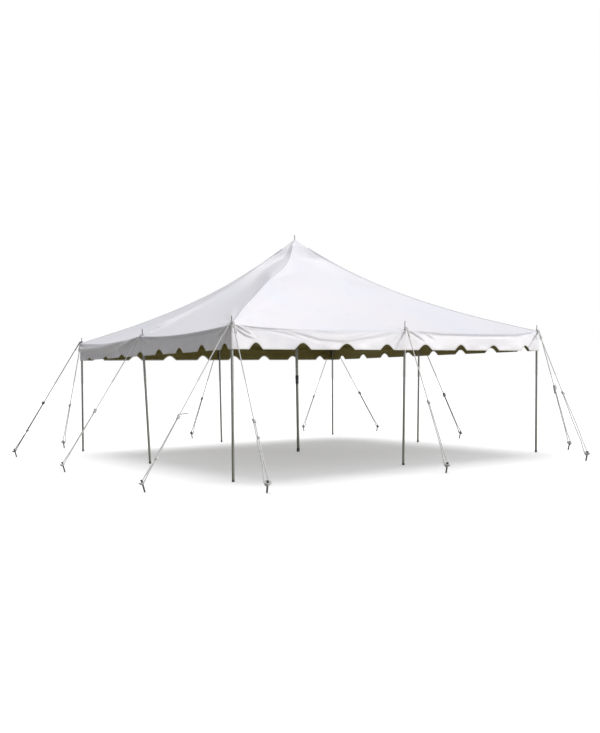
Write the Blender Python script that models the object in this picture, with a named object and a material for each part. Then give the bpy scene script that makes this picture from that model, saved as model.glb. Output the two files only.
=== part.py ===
# Pole tent on a 6.1 m square of side poles, drawn up to a centre pole and held by twelve guy ropes.
# Units are metres, +Z is up, and the origin is on the ground under the centre pole.
# The front looks along -Y, and each side is named as it is met from the front.

import math

import bmesh
import bpy
from mathutils import Matrix, Vector

# Driving dimensions of the plan and the heights
HALF_SIDE = 3.048            # centre pole to each line of side poles
EAVE_HEIGHT = 2.13           # canopy's top at every side pole
PEAK_HEIGHT = 3.93           # canopy's top at the centre pole
OVERHANG = 0.04              # canopy past the line of side poles
VALANCE_BOTTOM = 1.79
TOUCH = 0.0004               # gap left between pieces that touch

# Canopy
CLOTH = 0.0045               # thickness of the canopy's solid, measured upright
HIP_SAG = 0.25               # deepest dip of a hip below the straight line from peak to corner
MIDDLE_SAG = 0.095           # the same on the tighter line from peak to middle pole
CROWN_REACH = 0.18           # share of the way out within which the middle lines slacken to the hips' dip
PANEL_SAG = 0.05             # further dip of the cloth halfway between two ridges
EAVE_SAG = 0.05              # dip of the eave halfway between two poles
CELLS_ALONG = 12             # cells along one eave
PEAK_HOLE = 0.0028           # share of the way out where the peak cap's hole starts
PANEL_START = 0.03           # share of the way out where the panels start
CAP_EDGE = 0.0525            # share of the way out where the peak cap ends
EDGE = 1 + OVERHANG / HALF_SIDE
OVERHANG_DROP = 0.0093       # fall of the cloth from the line of side poles to its edge
PANEL_ROWS = (PANEL_START, CAP_EDGE, 0.1, 0.18, 0.28, 0.4, 0.55, 0.72, 0.88, 1.0, EDGE)
CAP_ROWS = (PEAK_HOLE, PANEL_START, CAP_EDGE)
CAP_THICKNESS = 0.003

# Valance
VALANCE_THICKNESS = 0.004
NOTCHES = 8                  # notches in the hem of each side
NOTCH_WIDTH = 0.28
NOTCH_DEPTH = 0.09
NOTCH_STEPS = (-1.0, -0.66, -0.33, 0.0, 0.33, 0.66, 1.0)
# Valances in turn from the front, as seen from outside: the first notch's middle, left of the middle pole,
# the step to the next notch, and half of what that step gains each time
VALANCES = (
    ("front", -2.702, 0.772, 0.0),
    ("right", -2.702, 0.772, 0.0),
    ("back", -2.702, 0.772, 0.0),
    ("left", -2.52, 0.85, -0.0125),
)

# Side poles
POLE_RADIUS = 0.019
POLE_SIDES = 12
FOOT_RADIUS = 0.021
FOOT_HEIGHT = 0.05
SHOULDER_RADIUS = 0.011
SHOULDER_DROP = 0.0030       # fall of the cloth across the shoulder
PIN_RADIUS = 0.007
PIN_HEIGHT = 0.11            # pin above the cloth
PIN_HOLE_RADIUS = 0.0085
PLUMB_HEIGHT = EAVE_HEIGHT + 0.018   # height at which each pole is exactly in its place

# Centre pole
CENTRE_RADIUS = 0.0255
CENTRE_SIDES = 16
CENTRE_FOOT_RADIUS = 0.03
CENTRE_FOOT_HEIGHT = 0.07
CENTRE_JOINT = 1.355         # where the two lengths meet
CENTRE_SHOULDER_RADIUS = 0.01
CENTRE_PIN_RADIUS = 0.008
CENTRE_PIN_TOP = 4.01
SLEEVE_BOTTOM = 1.28
SLEEVE_TOP = 1.43
SLEEVE_INNER_RADIUS = 0.0264
SLEEVE_OUTER_RADIUS = 0.0305

# Guy ropes and stakes
ROPE_RADIUS = 0.0055
EYE_RADIUS = 0.0132          # middle of the rope, round a pin
EYE_STEPS = 8
EYE_TAIL = 0.012             # rope's end past the middle of the pin
EYE_LEAD = 0.008             # straight run past the middle of the pin before the rope turns to the stake
LOW_EYE = 0.013              # height of the first rope's eye above the cloth
HIGH_EYE = 0.0245            # height of the second rope's eye on the same pin
LOW_ROUTE = ((0.038, 0.0021), (0.0505, -0.0104))
HIGH_ROUTE = ((0.026, 0.024), (0.043, 0.0125), (0.055, -0.006))
KNOT_SWELL = 1.9             # thickness of a knot as a multiple of the rope's
KNOT_LENGTH = 0.035
LEG_HALF_GAP = 0.0064        # from the rope's line to each of the two legs, below the knot
STAKE_RADIUS = 0.0125
STAKE_SIDES = 10
STAKE_HEIGHT = 0.16
STAKE_HEAD_RADIUS = 0.018
STAKE_HEAD_HEIGHT = 0.014
STAKE_LEAN = math.tan(math.radians(15))
LOOP_HEIGHT = 0.105          # where a rope goes round its stake
LOOP_STEPS = 8
LOOP_CLEARANCE = 0.0008

# Side poles: name, place as a multiple of HALF_SIDE, and how far the foot stands out of plumb
POLES = (
    ("corner_pole_front_left", (-1, -1), (-0.025, 0.015)),
    ("side_pole_front", (0, -1), (-0.035, 0.02)),
    ("corner_pole_front_right", (1, -1), (0.0, 0.0)),
    ("side_pole_right", (1, 0), (-0.03, 0.02)),
    ("corner_pole_back_right", (1, 1), (-0.02, 0.015)),
    ("side_pole_back", (0, 1), (0.0, 0.0)),
    ("corner_pole_back_left", (-1, 1), (-0.045, 0.03)),
    ("side_pole_left", (-1, 0), (0.05, -0.035)),
)

# Guy ropes: name, pole as a multiple of HALF_SIDE, stake on the ground, share of the way to the knot,
# and whether its eye lies above another one
ROPES = (
    ("front_left_1", (-1, -1), (-4.40, -3.15), 0.59, False),
    ("front_left_2", (-1, -1), (-3.25, -4.20), 0.62, True),
    ("front", (0, -1), (-0.25, -4.20), 0.55, False),
    ("front_right_1", (1, -1), (2.50, -4.50), 0.52, False),
    ("front_right_2", (1, -1), (3.80, -3.15), 0.50, True),
    ("right", (1, 0), (4.30, 0.10), 0.57, False),
    ("back_right_1", (1, 1), (4.50, 3.20), 0.56, False),
    ("back_right_2", (1, 1), (3.20, 4.55), 0.60, True),
    ("back", (0, 1), (0.00, 4.50), 0.58, False),
    ("back_left_1", (-1, 1), (-3.15, 4.10), 0.60, False),
    ("back_left_2", (-1, 1), (-4.45, 2.80), 0.56, True),
    ("left", (-1, 0), (-4.50, -0.25), 0.59, False),
)


def clear_scene():
    for old in list(bpy.data.objects):
        bpy.data.objects.remove(old, do_unlink=True)


def material(name, colour, roughness, metallic=0.0):
    made = bpy.data.materials.new(name)
    made.use_nodes = True
    shader = made.node_tree.nodes["Principled BSDF"]
    shader.inputs["Base Color"].default_value = (*colour, 1.0)
    shader.inputs["Roughness"].default_value = roughness
    shader.inputs["Metallic"].default_value = metallic
    return made


def link(name, data, finish):
    made = bpy.data.objects.new(name, data)
    bpy.context.scene.collection.objects.link(made)
    data.materials.append(finish)
    return made


def object_from(name, mesh_maker, finish):
    mesh = bpy.data.meshes.new(name)
    bmesh.ops.recalc_face_normals(mesh_maker, faces=mesh_maker.faces)
    mesh_maker.to_mesh(mesh)
    mesh_maker.free()
    mesh.shade_smooth()
    mesh.set_sharp_from_angle(angle=math.radians(35))
    return link(name, mesh, finish)


def shell(name, over, under, ring, finish):
    """A thin closed sheet between two grids of points, given as rows. A ring joins each row's ends."""
    maker = bmesh.new()
    grids = [[[maker.verts.new(point) for point in row] for row in grid] for grid in (over, under)]
    rows = len(over)
    columns = len(over[0])
    cells = columns if ring else columns - 1
    for grid in grids:
        for i in range(rows - 1):
            for j in range(cells):
                k = (j + 1) % columns
                maker.faces.new((grid[i][j], grid[i][k], grid[i + 1][k]))
                maker.faces.new((grid[i][j], grid[i + 1][k], grid[i + 1][j]))
    upper, lower = grids
    for i in (0, rows - 1):
        for j in range(cells):
            k = (j + 1) % columns
            maker.faces.new((upper[i][j], upper[i][k], lower[i][k], lower[i][j]))
    if not ring:
        for j in (0, columns - 1):
            for i in range(rows - 1):
                maker.faces.new((upper[i][j], upper[i + 1][j], lower[i + 1][j], lower[i][j]))
    return object_from(name, maker, finish)


def turned(name, profile, sides, finish, lean=(0.0, 0.0)):
    """A solid of round level sections. The profile runs upward as (radius, height), and lean slants it."""
    maker = bmesh.new()
    rings = []
    for radius, height in profile:
        ring = []
        for k in range(sides):
            angle = 2 * math.pi * k / sides
            x = radius * math.cos(angle) + lean[0] * height
            y = radius * math.sin(angle) + lean[1] * height
            ring.append(maker.verts.new((x, y, height)))
        rings.append(ring)
    for low, high in zip(rings, rings[1:]):
        for k in range(sides):
            n = (k + 1) % sides
            maker.faces.new((low[k], low[n], high[n], high[k]))
    maker.faces.new(list(reversed(rings[0])))
    maker.faces.new(rings[-1])
    return object_from(name, maker, finish)


def roof_height(across, out):
    """Top of the cloth. across runs -1 to 1 along an eave, and out from 0 at the peak to 1 at the poles."""
    slack = 4 * abs(across) * (1 - abs(across))
    eave = EAVE_HEIGHT - EAVE_SAG * slack
    if out > 1:
        return eave - OVERHANG_DROP * (out - 1) / (EDGE - 1)
    straight = PEAK_HEIGHT + (eave - PEAK_HEIGHT) * out
    tightness = (1 - abs(across)) * min(1, out / CROWN_REACH)
    sag = HIP_SAG + (MIDDLE_SAG - HIP_SAG) * tightness
    return straight - 4 * (sag + PANEL_SAG * slack) * out * (1 - out)


def front_point(across, out, lift, margin=TOUCH):
    """A point of the front quarter, which leaves a narrow gap to the next quarter at each hip."""
    depth = HALF_SIDE * out
    return Vector((across * (depth - margin), -depth, roof_height(across, out) + lift))


def across_values():
    return [2 * j / CELLS_ALONG - 1 for j in range(CELLS_ALONG + 1)]


def roof_panel(name, turn, finish):
    over = [[front_point(a, out, 0) for a in across_values()] for out in PANEL_ROWS]
    under = [[front_point(a, out, -CLOTH) for a in across_values()] for out in PANEL_ROWS]
    panel = shell(name, over, under, False, finish)
    panel.rotation_euler.z = turn
    return panel


def cut_pin_holes(panels):
    """Holes for the eight pins. One cutter holds them all, and each panel takes those that meet it."""
    maker = bmesh.new()
    for _, (x, y), _ in POLES:
        bmesh.ops.create_cone(
            maker, cap_ends=True, segments=POLE_SIDES, depth=4 * PIN_HEIGHT,
            radius1=PIN_HOLE_RADIUS, radius2=PIN_HOLE_RADIUS,
            matrix=Matrix.Translation((x * HALF_SIDE, y * HALF_SIDE, EAVE_HEIGHT)))
    mesh = bpy.data.meshes.new("pin_hole_cutter")
    maker.to_mesh(mesh)
    maker.free()
    cutter = bpy.data.objects.new("pin_hole_cutter", mesh)
    bpy.context.scene.collection.objects.link(cutter)
    cutter.hide_render = True
    cutter.display_type = "WIRE"
    for panel in panels:
        cut = panel.modifiers.new("pin_holes", "BOOLEAN")
        cut.operation = "DIFFERENCE"
        cut.solver = "EXACT"
        cut.object = cutter


def peak_cap(finish):
    over, under = [], []
    for out in CAP_ROWS:
        ring = []
        for quarter in range(4):
            turn = Matrix.Rotation(quarter * math.pi / 2, 3, "Z")
            ring += [turn @ front_point(a, out, TOUCH, 0.0) for a in across_values()[:-1]]
        under.append(ring)
        over.append([point + Vector((0, 0, CAP_THICKNESS)) for point in ring])
    return shell("peak_cap", over, under, True, finish)


def valance_columns(first, step, gain):
    """Columns of the hem as (across, lift above the hem): the notches, the tabs between them and the ends."""
    outer = HALF_SIDE + OVERHANG
    half = NOTCH_WIDTH / 2 / outer
    middles = [(first + step * k + gain * k * (k - 1)) / outer for k in range(NOTCHES)]
    columns = [(-1.0, 0.0)]
    for number, middle in enumerate(middles):
        if number > 0:
            columns.append(((middles[number - 1] + middle) / 2, 0.0))
        for part in NOTCH_STEPS:
            columns.append((middle + part * half, NOTCH_DEPTH * (1 + math.cos(math.pi * part)) / 2))
    return columns + [(1.0, 0.0)]


def valance(name, turn, notches, finish):
    """The skirt hangs under the canopy's edge, and its ends are mitred at the corners."""
    outer = HALF_SIDE + OVERHANG
    faces = []
    for depth in (outer, outer - VALANCE_THICKNESS):
        head, hem = [], []
        for across, lift in valance_columns(*notches):
            x = across * (depth - TOUCH)
            head.append(Vector((x, -depth, roof_height(across, EDGE) - CLOTH - TOUCH)))
            hem.append(Vector((x, -depth, VALANCE_BOTTOM + lift)))
        faces.append([head, hem])
    skirt = shell(name, faces[0], faces[1], False, finish)
    skirt.rotation_euler.z = turn
    return skirt


def side_pole(name, place, foot, finish):
    shoulder = EAVE_HEIGHT - CLOTH - SHOULDER_DROP - TOUCH
    pin_top = EAVE_HEIGHT + PIN_HEIGHT
    profile = (
        (FOOT_RADIUS, 0.0),
        (FOOT_RADIUS, FOOT_HEIGHT),
        (POLE_RADIUS, FOOT_HEIGHT + 0.003),
        (POLE_RADIUS, shoulder - 0.022),
        (0.0145, shoulder - 0.0055),
        (SHOULDER_RADIUS, shoulder),
        (PIN_RADIUS, shoulder),
        (PIN_RADIUS, pin_top - 0.004),
        (PIN_RADIUS - 0.002, pin_top),
    )
    lean = (-foot[0] / PLUMB_HEIGHT, -foot[1] / PLUMB_HEIGHT)
    pole = turned(name, profile, POLE_SIDES, finish, lean)
    pole.location = (place[0] * HALF_SIDE + foot[0], place[1] * HALF_SIDE + foot[1], 0)
    return pole


def centre_pole(finish, sleeve_finish):
    turned("centre_pole_lower", (
        (CENTRE_FOOT_RADIUS, 0.0),
        (CENTRE_FOOT_RADIUS, CENTRE_FOOT_HEIGHT),
        (CENTRE_RADIUS, CENTRE_FOOT_HEIGHT + 0.003),
        (CENTRE_RADIUS, CENTRE_JOINT - TOUCH),
    ), CENTRE_SIDES, finish)
    shoulder = roof_height(0, PEAK_HOLE) - TOUCH - 0.0015
    turned("centre_pole_upper", (
        (CENTRE_RADIUS, CENTRE_JOINT),
        (CENTRE_RADIUS, shoulder - 0.0165),
        (CENTRE_SHOULDER_RADIUS, shoulder),
        (CENTRE_PIN_RADIUS, shoulder),
        (CENTRE_PIN_RADIUS, CENTRE_PIN_TOP - 0.005),
        (CENTRE_PIN_RADIUS - 0.003, CENTRE_PIN_TOP),
    ), CENTRE_SIDES, finish)
    circles = []
    for radius in (SLEEVE_OUTER_RADIUS, SLEEVE_INNER_RADIUS):
        wall = []
        for height in (SLEEVE_BOTTOM, SLEEVE_TOP):
            angles = [2 * math.pi * k / CENTRE_SIDES for k in range(CENTRE_SIDES)]
            wall.append([Vector((radius * math.cos(a), radius * math.sin(a), height)) for a in angles])
        circles.append(wall)
    shell("centre_pole_sleeve", circles[0], circles[1], True, sleeve_finish)


def rope_directions(pole, stake):
    """Pin's foot on the cloth, the level way from it to the stake, and the way to the left of that."""
    start = Vector((pole[0] * HALF_SIDE, pole[1] * HALF_SIDE, EAVE_HEIGHT))
    away = Vector((stake[0] - start.x, stake[1] - start.y, 0)).normalized()
    return start, away, Vector((-away.y, away.x, 0))


def stake(name, pole, place, finish):
    away = rope_directions(pole, place)[1]
    made = turned(name, (
        (STAKE_RADIUS, 0.0),
        (STAKE_RADIUS, STAKE_HEIGHT - STAKE_HEAD_HEIGHT),
        (STAKE_HEAD_RADIUS, STAKE_HEIGHT - 0.7 * STAKE_HEAD_HEIGHT),
        (STAKE_HEAD_RADIUS, STAKE_HEIGHT - 0.2 * STAKE_HEAD_HEIGHT),
        (STAKE_RADIUS, STAKE_HEIGHT),
    ), STAKE_SIDES, finish, lean=(away.x * STAKE_LEAN, away.y * STAKE_LEAN))
    made.location = (place[0], place[1], 0)
    return made


def rope_route(pole, place, knot_share, above):
    """Points of a rope with their thickness: eye round the pin, over the edge, knot, and loop round the stake."""
    start, away, left = rope_directions(pole, place)
    eye = start + Vector((0, 0, HIGH_EYE if above else LOW_EYE))
    slant = max(abs(away.x), abs(away.y))
    points = [(eye + left * EYE_RADIUS + away * EYE_TAIL, 1.0)]
    for k in range(EYE_STEPS + 1):
        turn = math.pi * k / EYE_STEPS
        points.append((eye + (left * math.cos(turn) - away * math.sin(turn)) * EYE_RADIUS, 1.0))
    points.append((eye - left * EYE_RADIUS + away * EYE_LEAD, 1.0))
    for out, up in HIGH_ROUTE if above else LOW_ROUTE:
        points.append((start + away * (out / slant) + Vector((0, 0, up)), 1.0))

    top = points[-1][0]
    ring = Vector((place[0], place[1], LOOP_HEIGHT)) + away * (STAKE_LEAN * LOOP_HEIGHT)
    down = (ring - top).normalized()
    knot = top + (ring - top) * knot_share
    points.append((knot - down * 0.012, 1.0))
    points.append((knot, KNOT_SWELL))
    points.append((knot + down * KNOT_LENGTH, KNOT_SWELL))
    legs = knot + down * (KNOT_LENGTH + 0.015)
    points.append((legs + left * LEG_HALF_GAP, 1.0))
    half_width = STAKE_RADIUS + ROPE_RADIUS + LOOP_CLEARANCE
    level_run = down.xy.length
    half_length = half_width / (level_run + STAKE_LEAN * abs(down.z))
    for k in range(LOOP_STEPS + 1):
        turn = math.pi * k / LOOP_STEPS
        offset = left * (half_width * math.cos(turn)) + down * (half_length * math.sin(turn))
        points.append((ring + offset, 1.0))
    points.append((legs + down * 0.006 - left * LEG_HALF_GAP, 1.0))
    return points


def guy_rope(name, pole, place, knot_share, above, finish):
    points = rope_route(pole, place, knot_share, above)
    curve = bpy.data.curves.new(name, "CURVE")
    curve.dimensions = "3D"
    curve.bevel_depth = ROPE_RADIUS
    curve.bevel_resolution = 1
    curve.use_fill_caps = True
    line = curve.splines.new("POLY")
    line.points.add(len(points) - 1)
    for slot, (place_on_rope, thickness) in zip(line.points, points):
        slot.co = (*place_on_rope, 1.0)
        slot.radius = thickness
    line.use_smooth = True
    return link(name, curve, finish)


def main():
    clear_scene()
    canopy_white = material("canopy_white", (0.86, 0.85, 0.88), 0.42)
    valance_white = material("valance_white", (0.84, 0.83, 0.86), 0.45)
    cap_white = material("cap_white", (0.80, 0.80, 0.82), 0.45)
    galvanised = material("galvanised_steel", (0.42, 0.43, 0.41), 0.45, 0.8)
    dark_sleeve = material("dark_sleeve", (0.10, 0.10, 0.09), 0.6, 0.3)
    rope_white = material("rope_white", (0.78, 0.78, 0.74), 0.8)
    stake_steel = material("stake_steel", (0.12, 0.12, 0.11), 0.6, 0.6)

    panels = []
    for quarter, (side, *notches) in enumerate(VALANCES):
        turn = quarter * math.pi / 2
        panels.append(roof_panel("roof_panel_" + side, turn, canopy_white))
        valance("valance_" + side, turn, notches, valance_white)
    cut_pin_holes(panels)
    peak_cap(cap_white)
    for name, place, foot in POLES:
        side_pole(name, place, foot, galvanised)
    centre_pole(galvanised, dark_sleeve)
    for name, pole, place, knot_share, above in ROPES:
        stake("stake_" + name, pole, place, stake_steel)
        guy_rope("guy_rope_" + name, pole, place, knot_share, above, rope_white)


main()
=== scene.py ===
import math

import bpy
import numpy as np
from mathutils import Matrix, Vector


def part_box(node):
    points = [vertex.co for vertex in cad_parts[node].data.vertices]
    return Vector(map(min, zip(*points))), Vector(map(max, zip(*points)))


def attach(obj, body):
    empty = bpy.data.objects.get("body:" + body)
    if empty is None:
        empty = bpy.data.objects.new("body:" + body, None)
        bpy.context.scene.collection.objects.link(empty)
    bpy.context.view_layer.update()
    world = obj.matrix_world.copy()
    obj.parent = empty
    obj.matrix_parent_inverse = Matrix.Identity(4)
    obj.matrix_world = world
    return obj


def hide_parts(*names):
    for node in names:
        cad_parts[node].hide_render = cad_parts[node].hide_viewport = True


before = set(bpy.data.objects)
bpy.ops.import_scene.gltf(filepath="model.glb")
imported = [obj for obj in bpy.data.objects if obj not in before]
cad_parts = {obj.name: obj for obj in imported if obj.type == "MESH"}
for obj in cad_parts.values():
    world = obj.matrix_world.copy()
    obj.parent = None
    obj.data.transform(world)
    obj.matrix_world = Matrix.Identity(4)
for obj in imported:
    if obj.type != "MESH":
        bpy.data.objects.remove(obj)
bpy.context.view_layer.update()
print("frame:", len(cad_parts), "solids")


# Reading the frame

def ringMiddle(node, top=False):      # middle of a solid's lowest or highest ring
    points = np.array([v.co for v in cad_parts[node].data.vertices])
    level = points[:, 2].max() if top else points[:, 2].min()
    ring = points[np.abs(points[:, 2] - level) < 0.0005]
    return (ring.min(0) + ring.max(0)) / 2


sides = ("front", "right", "back", "left")      # each a quarter turn on from the one before
plan = {
    "halfSide": float(abs(ringMiddle("corner_pole_front_right")[0])),
    "edge": float(-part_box("valance_front")[0].y),       # outer face of the valance
    "hem": float(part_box("valance_front")[0].z),
    "pinAboveCloth": 0.11,
    "peak": 3.93,
}
plan["eave"] = float(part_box("corner_pole_front_right")[1].z) - plan["pinAboveCloth"]
halfSide = plan["halfSide"]


# Mesh helpers

def addObject(name, data):
    made = bpy.data.objects.new(name, data)
    bpy.context.scene.collection.objects.link(made)
    return made


def addPiece(name, points, faces, looks, slots=None, sharpAngle=48):
    mesh = bpy.data.meshes.new(name)
    mesh.from_pydata(np.asarray(points, float).tolist(), [], faces)
    for look in looks:
        mesh.materials.append(finishes[look])
    if slots is not None:
        mesh.polygons.foreach_set("material_index", slots)
    mesh.shade_smooth()
    mesh.set_sharp_from_angle(angle=math.radians(sharpAngle))
    mesh.update()
    piece = addObject(name, mesh)
    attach(piece, "root")
    return piece


def addAttribute(piece, name, values):       # one number for each point, which a finish can read
    made = piece.data.attributes.new(name, "FLOAT", "POINT")
    made.data.foreach_set("value", np.asarray(values, np.float32).ravel())


def gridFaces(rows, columns, ring, first=0, flip=False):
    faces = []
    for i in range(rows - 1):
        for j in range(columns if ring else columns - 1):
            k = (j + 1) % columns
            quad = (first + i * columns + j, first + (i + 1) * columns + j,
                    first + (i + 1) * columns + k, first + i * columns + k)
            faces.append(quad[::-1] if flip else quad)
    return faces


def tubeFaces(rows, around, flip=False):      # rings of points joined into a tube, with a face at each end
    first, last = tuple(range(around)), tuple(range((rows - 1) * around, rows * around))
    ends = [first[::-1], last] if flip else [first, last[::-1]]
    return gridFaces(rows, around, True, flip=flip) + ends


def loopFaces(rows, around, flip=False):      # rings joined in a loop, as in a washer or a sleeve
    faces = gridFaces(rows, around, True, flip=flip)
    last = (rows - 1) * around
    for k in range(around):
        after = (k + 1) % around
        quad = (k, after, last + after, last + k)
        faces.append(quad[::-1] if flip else quad)
    return faces


def closedSheet(name, over, under, ring, looks):
    # two grids of points, joined round their rims: slot 0 is the upper side and the rim, slot 1 the lower
    rows, columns = over.shape[:2]
    count, last = rows * columns, (rows - 1) * columns
    upper = gridFaces(rows, columns, ring)
    lower = gridFaces(rows, columns, ring, count, True)
    edges = []
    for j in range(columns if ring else columns - 1):
        k = (j + 1) % columns
        edges += [(j, k), (last + k, last + j)]
    if not ring:
        for a in range(0, last, columns):
            b = a + columns
            edges += [(b, a), (a + columns - 1, b + columns - 1)]
    rim = [(a, b, count + b, count + a) for a, b in edges]
    slots = [0] * len(upper) + [1] * len(lower) + [0] * len(rim)
    points = np.concatenate([over.reshape(-1, 3), under.reshape(-1, 3)])
    return addPiece(name, points, upper + lower + rim, looks, slots)


def gridNormals(grid, ring):
    if ring:
        wide = np.concatenate([grid[:, -1:], grid, grid[:, :1]], axis=1)
        across = (wide[:, 2:] - wide[:, :-2])
    else:
        across = np.gradient(grid, axis=1)
    down = np.gradient(grid, axis=0)
    normal = np.cross(down, across)
    return normal / np.maximum(np.linalg.norm(normal, axis=2, keepdims=True), 1e-12)


def runAlong(points):       # how far along the line each point is
    return np.concatenate([[0], np.cumsum(np.linalg.norm(np.diff(points, axis=0), axis=1))])


def turned(x, y, quarter):       # turns plan points from the front quarter to another one
    for _ in range(quarter):
        x, y = -y, x
    return x, y


def smoothStep(low, high, value):
    share = np.clip((value - low) / (high - low), 0, 1)
    return share * share * (3 - 2 * share)


# Finishes

class Sock:      # a shader socket; sums and products of it add Math nodes
    def __init__(self, tree, out=None):
        self.tree = tree
        self.out = out

    def node(self, kind, settings=None, values=None, result=0):
        made = self.tree.nodes.new(kind)
        for name, value in (settings or {}).items():
            setattr(made, name, value)
        for name, value in (values or {}).items():
            if isinstance(value, Sock):
                self.tree.links.new(value.out, made.inputs[name])
            else:
                made.inputs[name].default_value = value
        return Sock(self.tree, made.outputs[result])

    def parts(self):       # every output of the node that this socket is on
        return [Sock(self.tree, out) for out in self.out.node.outputs]

    def math(self, operation, *others):
        return self.node("ShaderNodeMath", {"operation": operation}, dict(enumerate((self, *others))))

    def __add__(self, other):
        return self.math("ADD", other)

    __radd__ = __add__

    def __sub__(self, other):
        return self.math("SUBTRACT", other)

    def __rsub__(self, other):
        return self.node("ShaderNodeMath", {"operation": "SUBTRACT"}, {0: other, 1: self})

    def __mul__(self, other):
        return self.math("MULTIPLY", other)

    __rmul__ = __mul__

    def __truediv__(self, other):
        return self.math("DIVIDE", other)

    def __rtruediv__(self, other):
        return self.node("ShaderNodeMath", {"operation": "DIVIDE"}, {0: other, 1: self})

    def __abs__(self):
        return self.math("ABSOLUTE")

    def sine(self):
        return self.math("SINE")

    def between(self, low, high):       # 0 at low, 1 at high, and clamped
        return self.node("ShaderNodeMapRange", {"interpolation_type": "SMOOTHSTEP"},
                         {"Value": self, "From Min": low, "From Max": high})

    def blend(self, one, other):        # a colour that goes from one to the other as this goes from 0 to 1
        values = {0: self, 6: one, 7: other}
        for key in (6, 7):
            if not isinstance(values[key], Sock):
                values[key] = (*values[key], 1.0)
        return self.node("ShaderNodeMix", {"data_type": "RGBA"}, values, 2)


class Finish:      # a material, its place on the object, and its shader
    def __init__(self, name, fixed):
        self.material = bpy.data.materials.new(name)
        self.material.use_nodes = True
        self.start = Sock(self.material.node_tree)
        self.shader = self.start.tree.nodes["Principled BSDF"]
        for socket, value in fixed.items():
            self.shader.inputs[socket].default_value = value
        self.place = self.start.node("ShaderNodeTexCoord", result="Object")
        self.x, self.y, self.z = self.start.node("ShaderNodeSeparateXYZ", {}, {0: self.place}).parts()

    def noise(self, scale, detail=3.0, rough=0.55, stretch=None):
        place = self.place
        if stretch:
            place = self.start.node("ShaderNodeVectorMath", {"operation": "MULTIPLY"},
                                    {0: place, 1: stretch})
        return self.start.node("ShaderNodeTexNoise", {},
                               {"Vector": place, "Scale": scale, "Detail": detail, "Roughness": rough})

    def attribute(self, name):
        return self.start.node("ShaderNodeAttribute", {"attribute_name": name}, result="Fac")

    def bump(self, height, strength, distance):
        return self.start.node("ShaderNodeBump", {},
                               {"Height": height, "Strength": strength, "Distance": distance})

    def feed(self, colour, rough=None, normal=None, metal=None):
        links = {"Base Color": colour, "Roughness": rough, "Normal": normal, "Metallic": metal}
        for socket, value in links.items():
            if value is not None:
                self.start.tree.links.new(value.out, self.shader.inputs[socket])
        return self.material


vinylLook = {
    "outsideCool": (0.79, 0.79, 0.85), "outsideWarm": (0.82, 0.80, 0.83),
    "skirtCool": (0.91, 0.89, 0.93), "skirtWarm": (0.93, 0.90, 0.92),
    "grime": (0.60, 0.61, 0.66), "skirtGrime": (0.62, 0.62, 0.64),
    # the inside face's dark olive is painted shade, tinted by painted light bounced up from grass
    "shadeOliveDark": (0.155, 0.130, 0.022), "shadeOliveLight": (0.235, 0.200, 0.055),
    "insideGlow": (0.30, 0.25, 0.10),
    "threadPitch": 0.0021,         # of the scrim that shows through the coating
    "seamEvery": 1.524, "seamWidth": 0.024,
    "roughness": 0.40,
}


def scrim(finish):       # height of the woven scrim under the coating
    turns = 2 * math.pi / vinylLook["threadPitch"]
    return (finish.x * turns).sine() + (finish.y * turns).sine() + (finish.z * turns).sine()


def canopyVinyl():
    finish = Finish("canopyVinyl", {"IOR": 1.46})
    cloud = finish.noise(0.7, 3).between(0.35, 0.68)
    shade = cloud.blend(vinylLook["outsideCool"], vinylLook["outsideWarm"])
    onFrontOrBack = (abs(finish.y) - abs(finish.x)).between(-0.001, 0.001)
    across = finish.x * onFrontOrBack + finish.y * (1 - onFrontOrBack)
    inPanel = (across / vinylLook["seamEvery"] + 0.5).math("FRACT")
    fromSeam = abs(inPanel - 0.5) * vinylLook["seamEvery"]
    half = vinylLook["seamWidth"] / 2
    seam = 1 - fromSeam.between(half - 0.0015, half)
    streak = finish.noise(2.2, 4, 0.6, (1.0, 1.0, 0.25)).between(0.52, 0.78)
    grime = seam * 0.10 + streak * 0.16
    shade = grime.blend(shade, vinylLook["grime"])
    height = scrim(finish) * 0.10 + seam * 1.2 + finish.noise(60, 2) * 0.25
    rough = finish.noise(5, 3) * 0.12 + (vinylLook["roughness"] - 0.06)
    return finish.feed(shade, rough, finish.bump(height, 0.35, 0.0006))


def skirtVinyl():
    finish = Finish("skirtVinyl", {"IOR": 1.46})
    cloud = finish.noise(0.9, 3).between(0.35, 0.68)
    shade = cloud.blend(vinylLook["skirtCool"], vinylLook["skirtWarm"])
    low = 1 - finish.z.between(plan["hem"], plan["hem"] + 0.10)
    streak = finish.noise(3.0, 4, 0.6, (1.0, 1.0, 0.2)).between(0.5, 0.8)
    shade = (streak * 0.14 + low * 0.07).blend(shade, vinylLook["skirtGrime"])
    height = scrim(finish) * 0.10 + finish.noise(60, 2) * 0.25
    rough = finish.noise(5, 3) * 0.12 + (vinylLook["roughness"] - 0.04)
    return finish.feed(shade, rough, finish.bump(height, 0.35, 0.0006))


def shadedInsideVinyl(name, glow):      # glow is the daylight that comes through the cloth on the sunny side
    glowColour = (*vinylLook["insideGlow"], 1.0)
    finish = Finish(name, {"IOR": 1.45, "Specular IOR Level": 0.3, "Emission Color": glowColour,
                           "Emission Strength": glow})
    cloud = finish.noise(1.6, 4).between(0.3, 0.7)
    band = finish.noise(4.0, 3, 0.5, (0.15, 0.15, 6.0)).between(0.42, 0.7)
    # painted shade and green bounce light, varied at random and in bands
    shade = (cloud * 0.6 + band * 0.4).blend(vinylLook["shadeOliveDark"], vinylLook["shadeOliveLight"])
    height = scrim(finish) * 0.12 + finish.noise(60, 2) * 0.25
    rough = finish.noise(5, 3) * 0.1 + 0.5
    return finish.feed(shade, rough, finish.bump(height, 0.4, 0.0006))


tapeLook = {"ribPitch": 0.0024, "stitchPitch": 0.0065, "stitchRow": 0.78, "stitch": (0.55, 0.54, 0.5)}


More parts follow.
